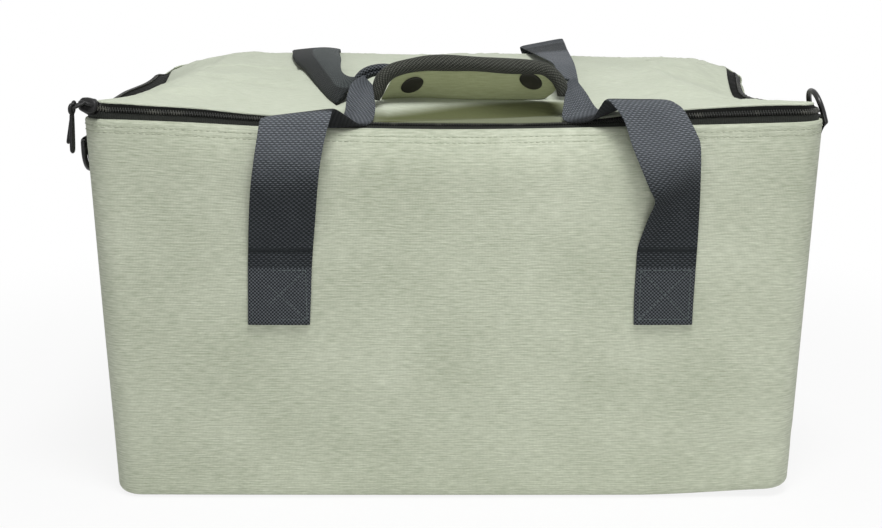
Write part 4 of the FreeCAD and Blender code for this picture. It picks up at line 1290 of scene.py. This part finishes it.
def pull(word, eye, tip, width_axis):
    """A zip pull: a rounded tab that hangs from a ring-shaped eye."""
    down = unit(tip - eye)
    width_axis = unit(np.asarray(width_axis, float) - down * np.dot(width_axis, down))
    thick = np.cross(down, width_axis)
    turn = np.linspace(0, TURN, 29)
    ring = eye + 2.6 * (np.cos(turn)[:, None] * down + np.sin(turn)[:, None] * width_axis)
    loop = tube(ring, 1.15, thick, closed=True)
    length = float(np.linalg.norm(tip - eye))
    s = np.linspace(0, 1, 41)
    half = np.interp(s, [0, 0.08, 0.3, 0.8, 0.93, 1], [1.6, 2.0, 2.3, 2.6, 2.3, 0.5])[:, None, None]
    u = np.linspace(0, TURN, 25)
    line = eye + down * (2.8 + (length - 2.8) * s)[:, None]
    wide = half * squared(np.cos(u), 0.7)[None, :, None] * width_axis
    deep = 1.1 * squared(np.sin(u), 0.7)[None, :, None] * thick * np.minimum(1, half / 1.2)
    grid = line[:, None] + (wide + deep)
    caps = [(np.stack([grid[e], np.broadcast_to(line[e], grid[e].shape)]), np.zeros((2, 25, 2)))
            for e in (0, -1)]
    thing = piece(word + "_tab", [loop, (grid, chart_of(u, s * length))] + caps, METAL, 0.01)
    return dress(thing, word, "black_metal", word)


pull("front_pull", FRONT_EYE, np.array([-232.6, -137.6, 233.5]), (0.2, 1, 0))
pull("side_pull", SIDE_EYE, np.array([-241.5, -114.8, 236.0]), (0, 1, 0))


# ---------------------------------------------------------------- floor, light and camera

def stage():
    """A pale floor that keeps the bag's shadow, and looks plain white to the camera."""
    s = np.linspace(-3000, 3000, 13)
    grid = np.stack([*np.meshgrid(s, s), np.zeros((13, 13)) - 0.4], -1)
    f = Finish("pale_floor", Roughness=0.9, Specular_IOR_Level=0.1)
    ground = piece("studio_floor", [(grid, grid[..., :2])], f.material)
    fine = f.noise(f.place(), 40.0)
    f.put(f.shader.inputs["Base Color"], f.mix(fine, (0.86, 0.86, 0.86), (0.9, 0.9, 0.9)))
    white = f.node("ShaderNodeEmission", None, {"Color": (1, 1, 1, 1), "Strength": 1.0})
    x, y = f.pair(f.place())
    far = (x * x + y * y).power(0.5).step(0.28, 0.75)
    shown = f.background_seen() * (far * 0.14 + 0.86)
    shade = f.node("ShaderNodeMixShader", None, {0: shown, 1: Val(f, f.shader.outputs[0]), 2: white})
    output = next(n for n in f.tree.nodes if n.type == "OUTPUT_MATERIAL")
    f.tree.links.new(shade.socket, output.inputs["Surface"])


stage()


def room():
    """A plain white room seen by the camera and in gloss, dimmer as light."""
    world = bpy.data.worlds.new("studio")
    bpy.context.scene.world = world
    world.use_nodes = True
    nodes = Nodes(world.node_tree)
    level = nodes.node("ShaderNodeMapRange", None, {0: nodes.background_seen(), 3: 0.34, 4: 1.0})
    back = world.node_tree.nodes["Background"]
    nodes.put(back.inputs["Strength"], level)
    nodes.put(back.inputs["Color"], (1, 1, 1, 1))


room()


def lamp(name, place, aim, size, watts):
    """A large soft lamp at a place, turned towards an aim."""
    light = bpy.data.lights.new(name, "AREA")
    light.shape, light.size, light.energy = "DISK", size, watts
    thing = bpy.data.objects.new(name, light)
    bpy.context.scene.collection.objects.link(thing)
    way = np.asarray(aim, float) - np.asarray(place, float)
    yaw, fall = math.atan2(way[1], way[0]), math.acos(way[2] / float(np.linalg.norm(way)))
    thing.location, thing.rotation_euler = place, (math.pi - fall, 0, yaw - math.pi / 2)


lamp("overhead", (0.10, -0.60, 1.5), (0, 0.0, 0.1), 0.5, 15.2)
lamp("front_fill", (0.5, -2.0, 0.25), (0, 0, 0.10), 1.4, 1.2)
lamp("low_fill", (0.2, -0.9, 0.03), (0.02, 0, 0.0), 0.4, 1.6)

view = bpy.data.cameras.new("camera")
view.sensor_width, view.lens = 36.0, 53.06
camera = bpy.data.objects.new("camera", view)
camera.location, camera.rotation_euler = (-0.008, -0.924, 0.355), (math.radians(76.35), 0, 0)
bpy.context.scene.collection.objects.link(camera)
bpy.context.scene.camera = camera
bpy.context.scene.view_settings.view_transform = "Standard"
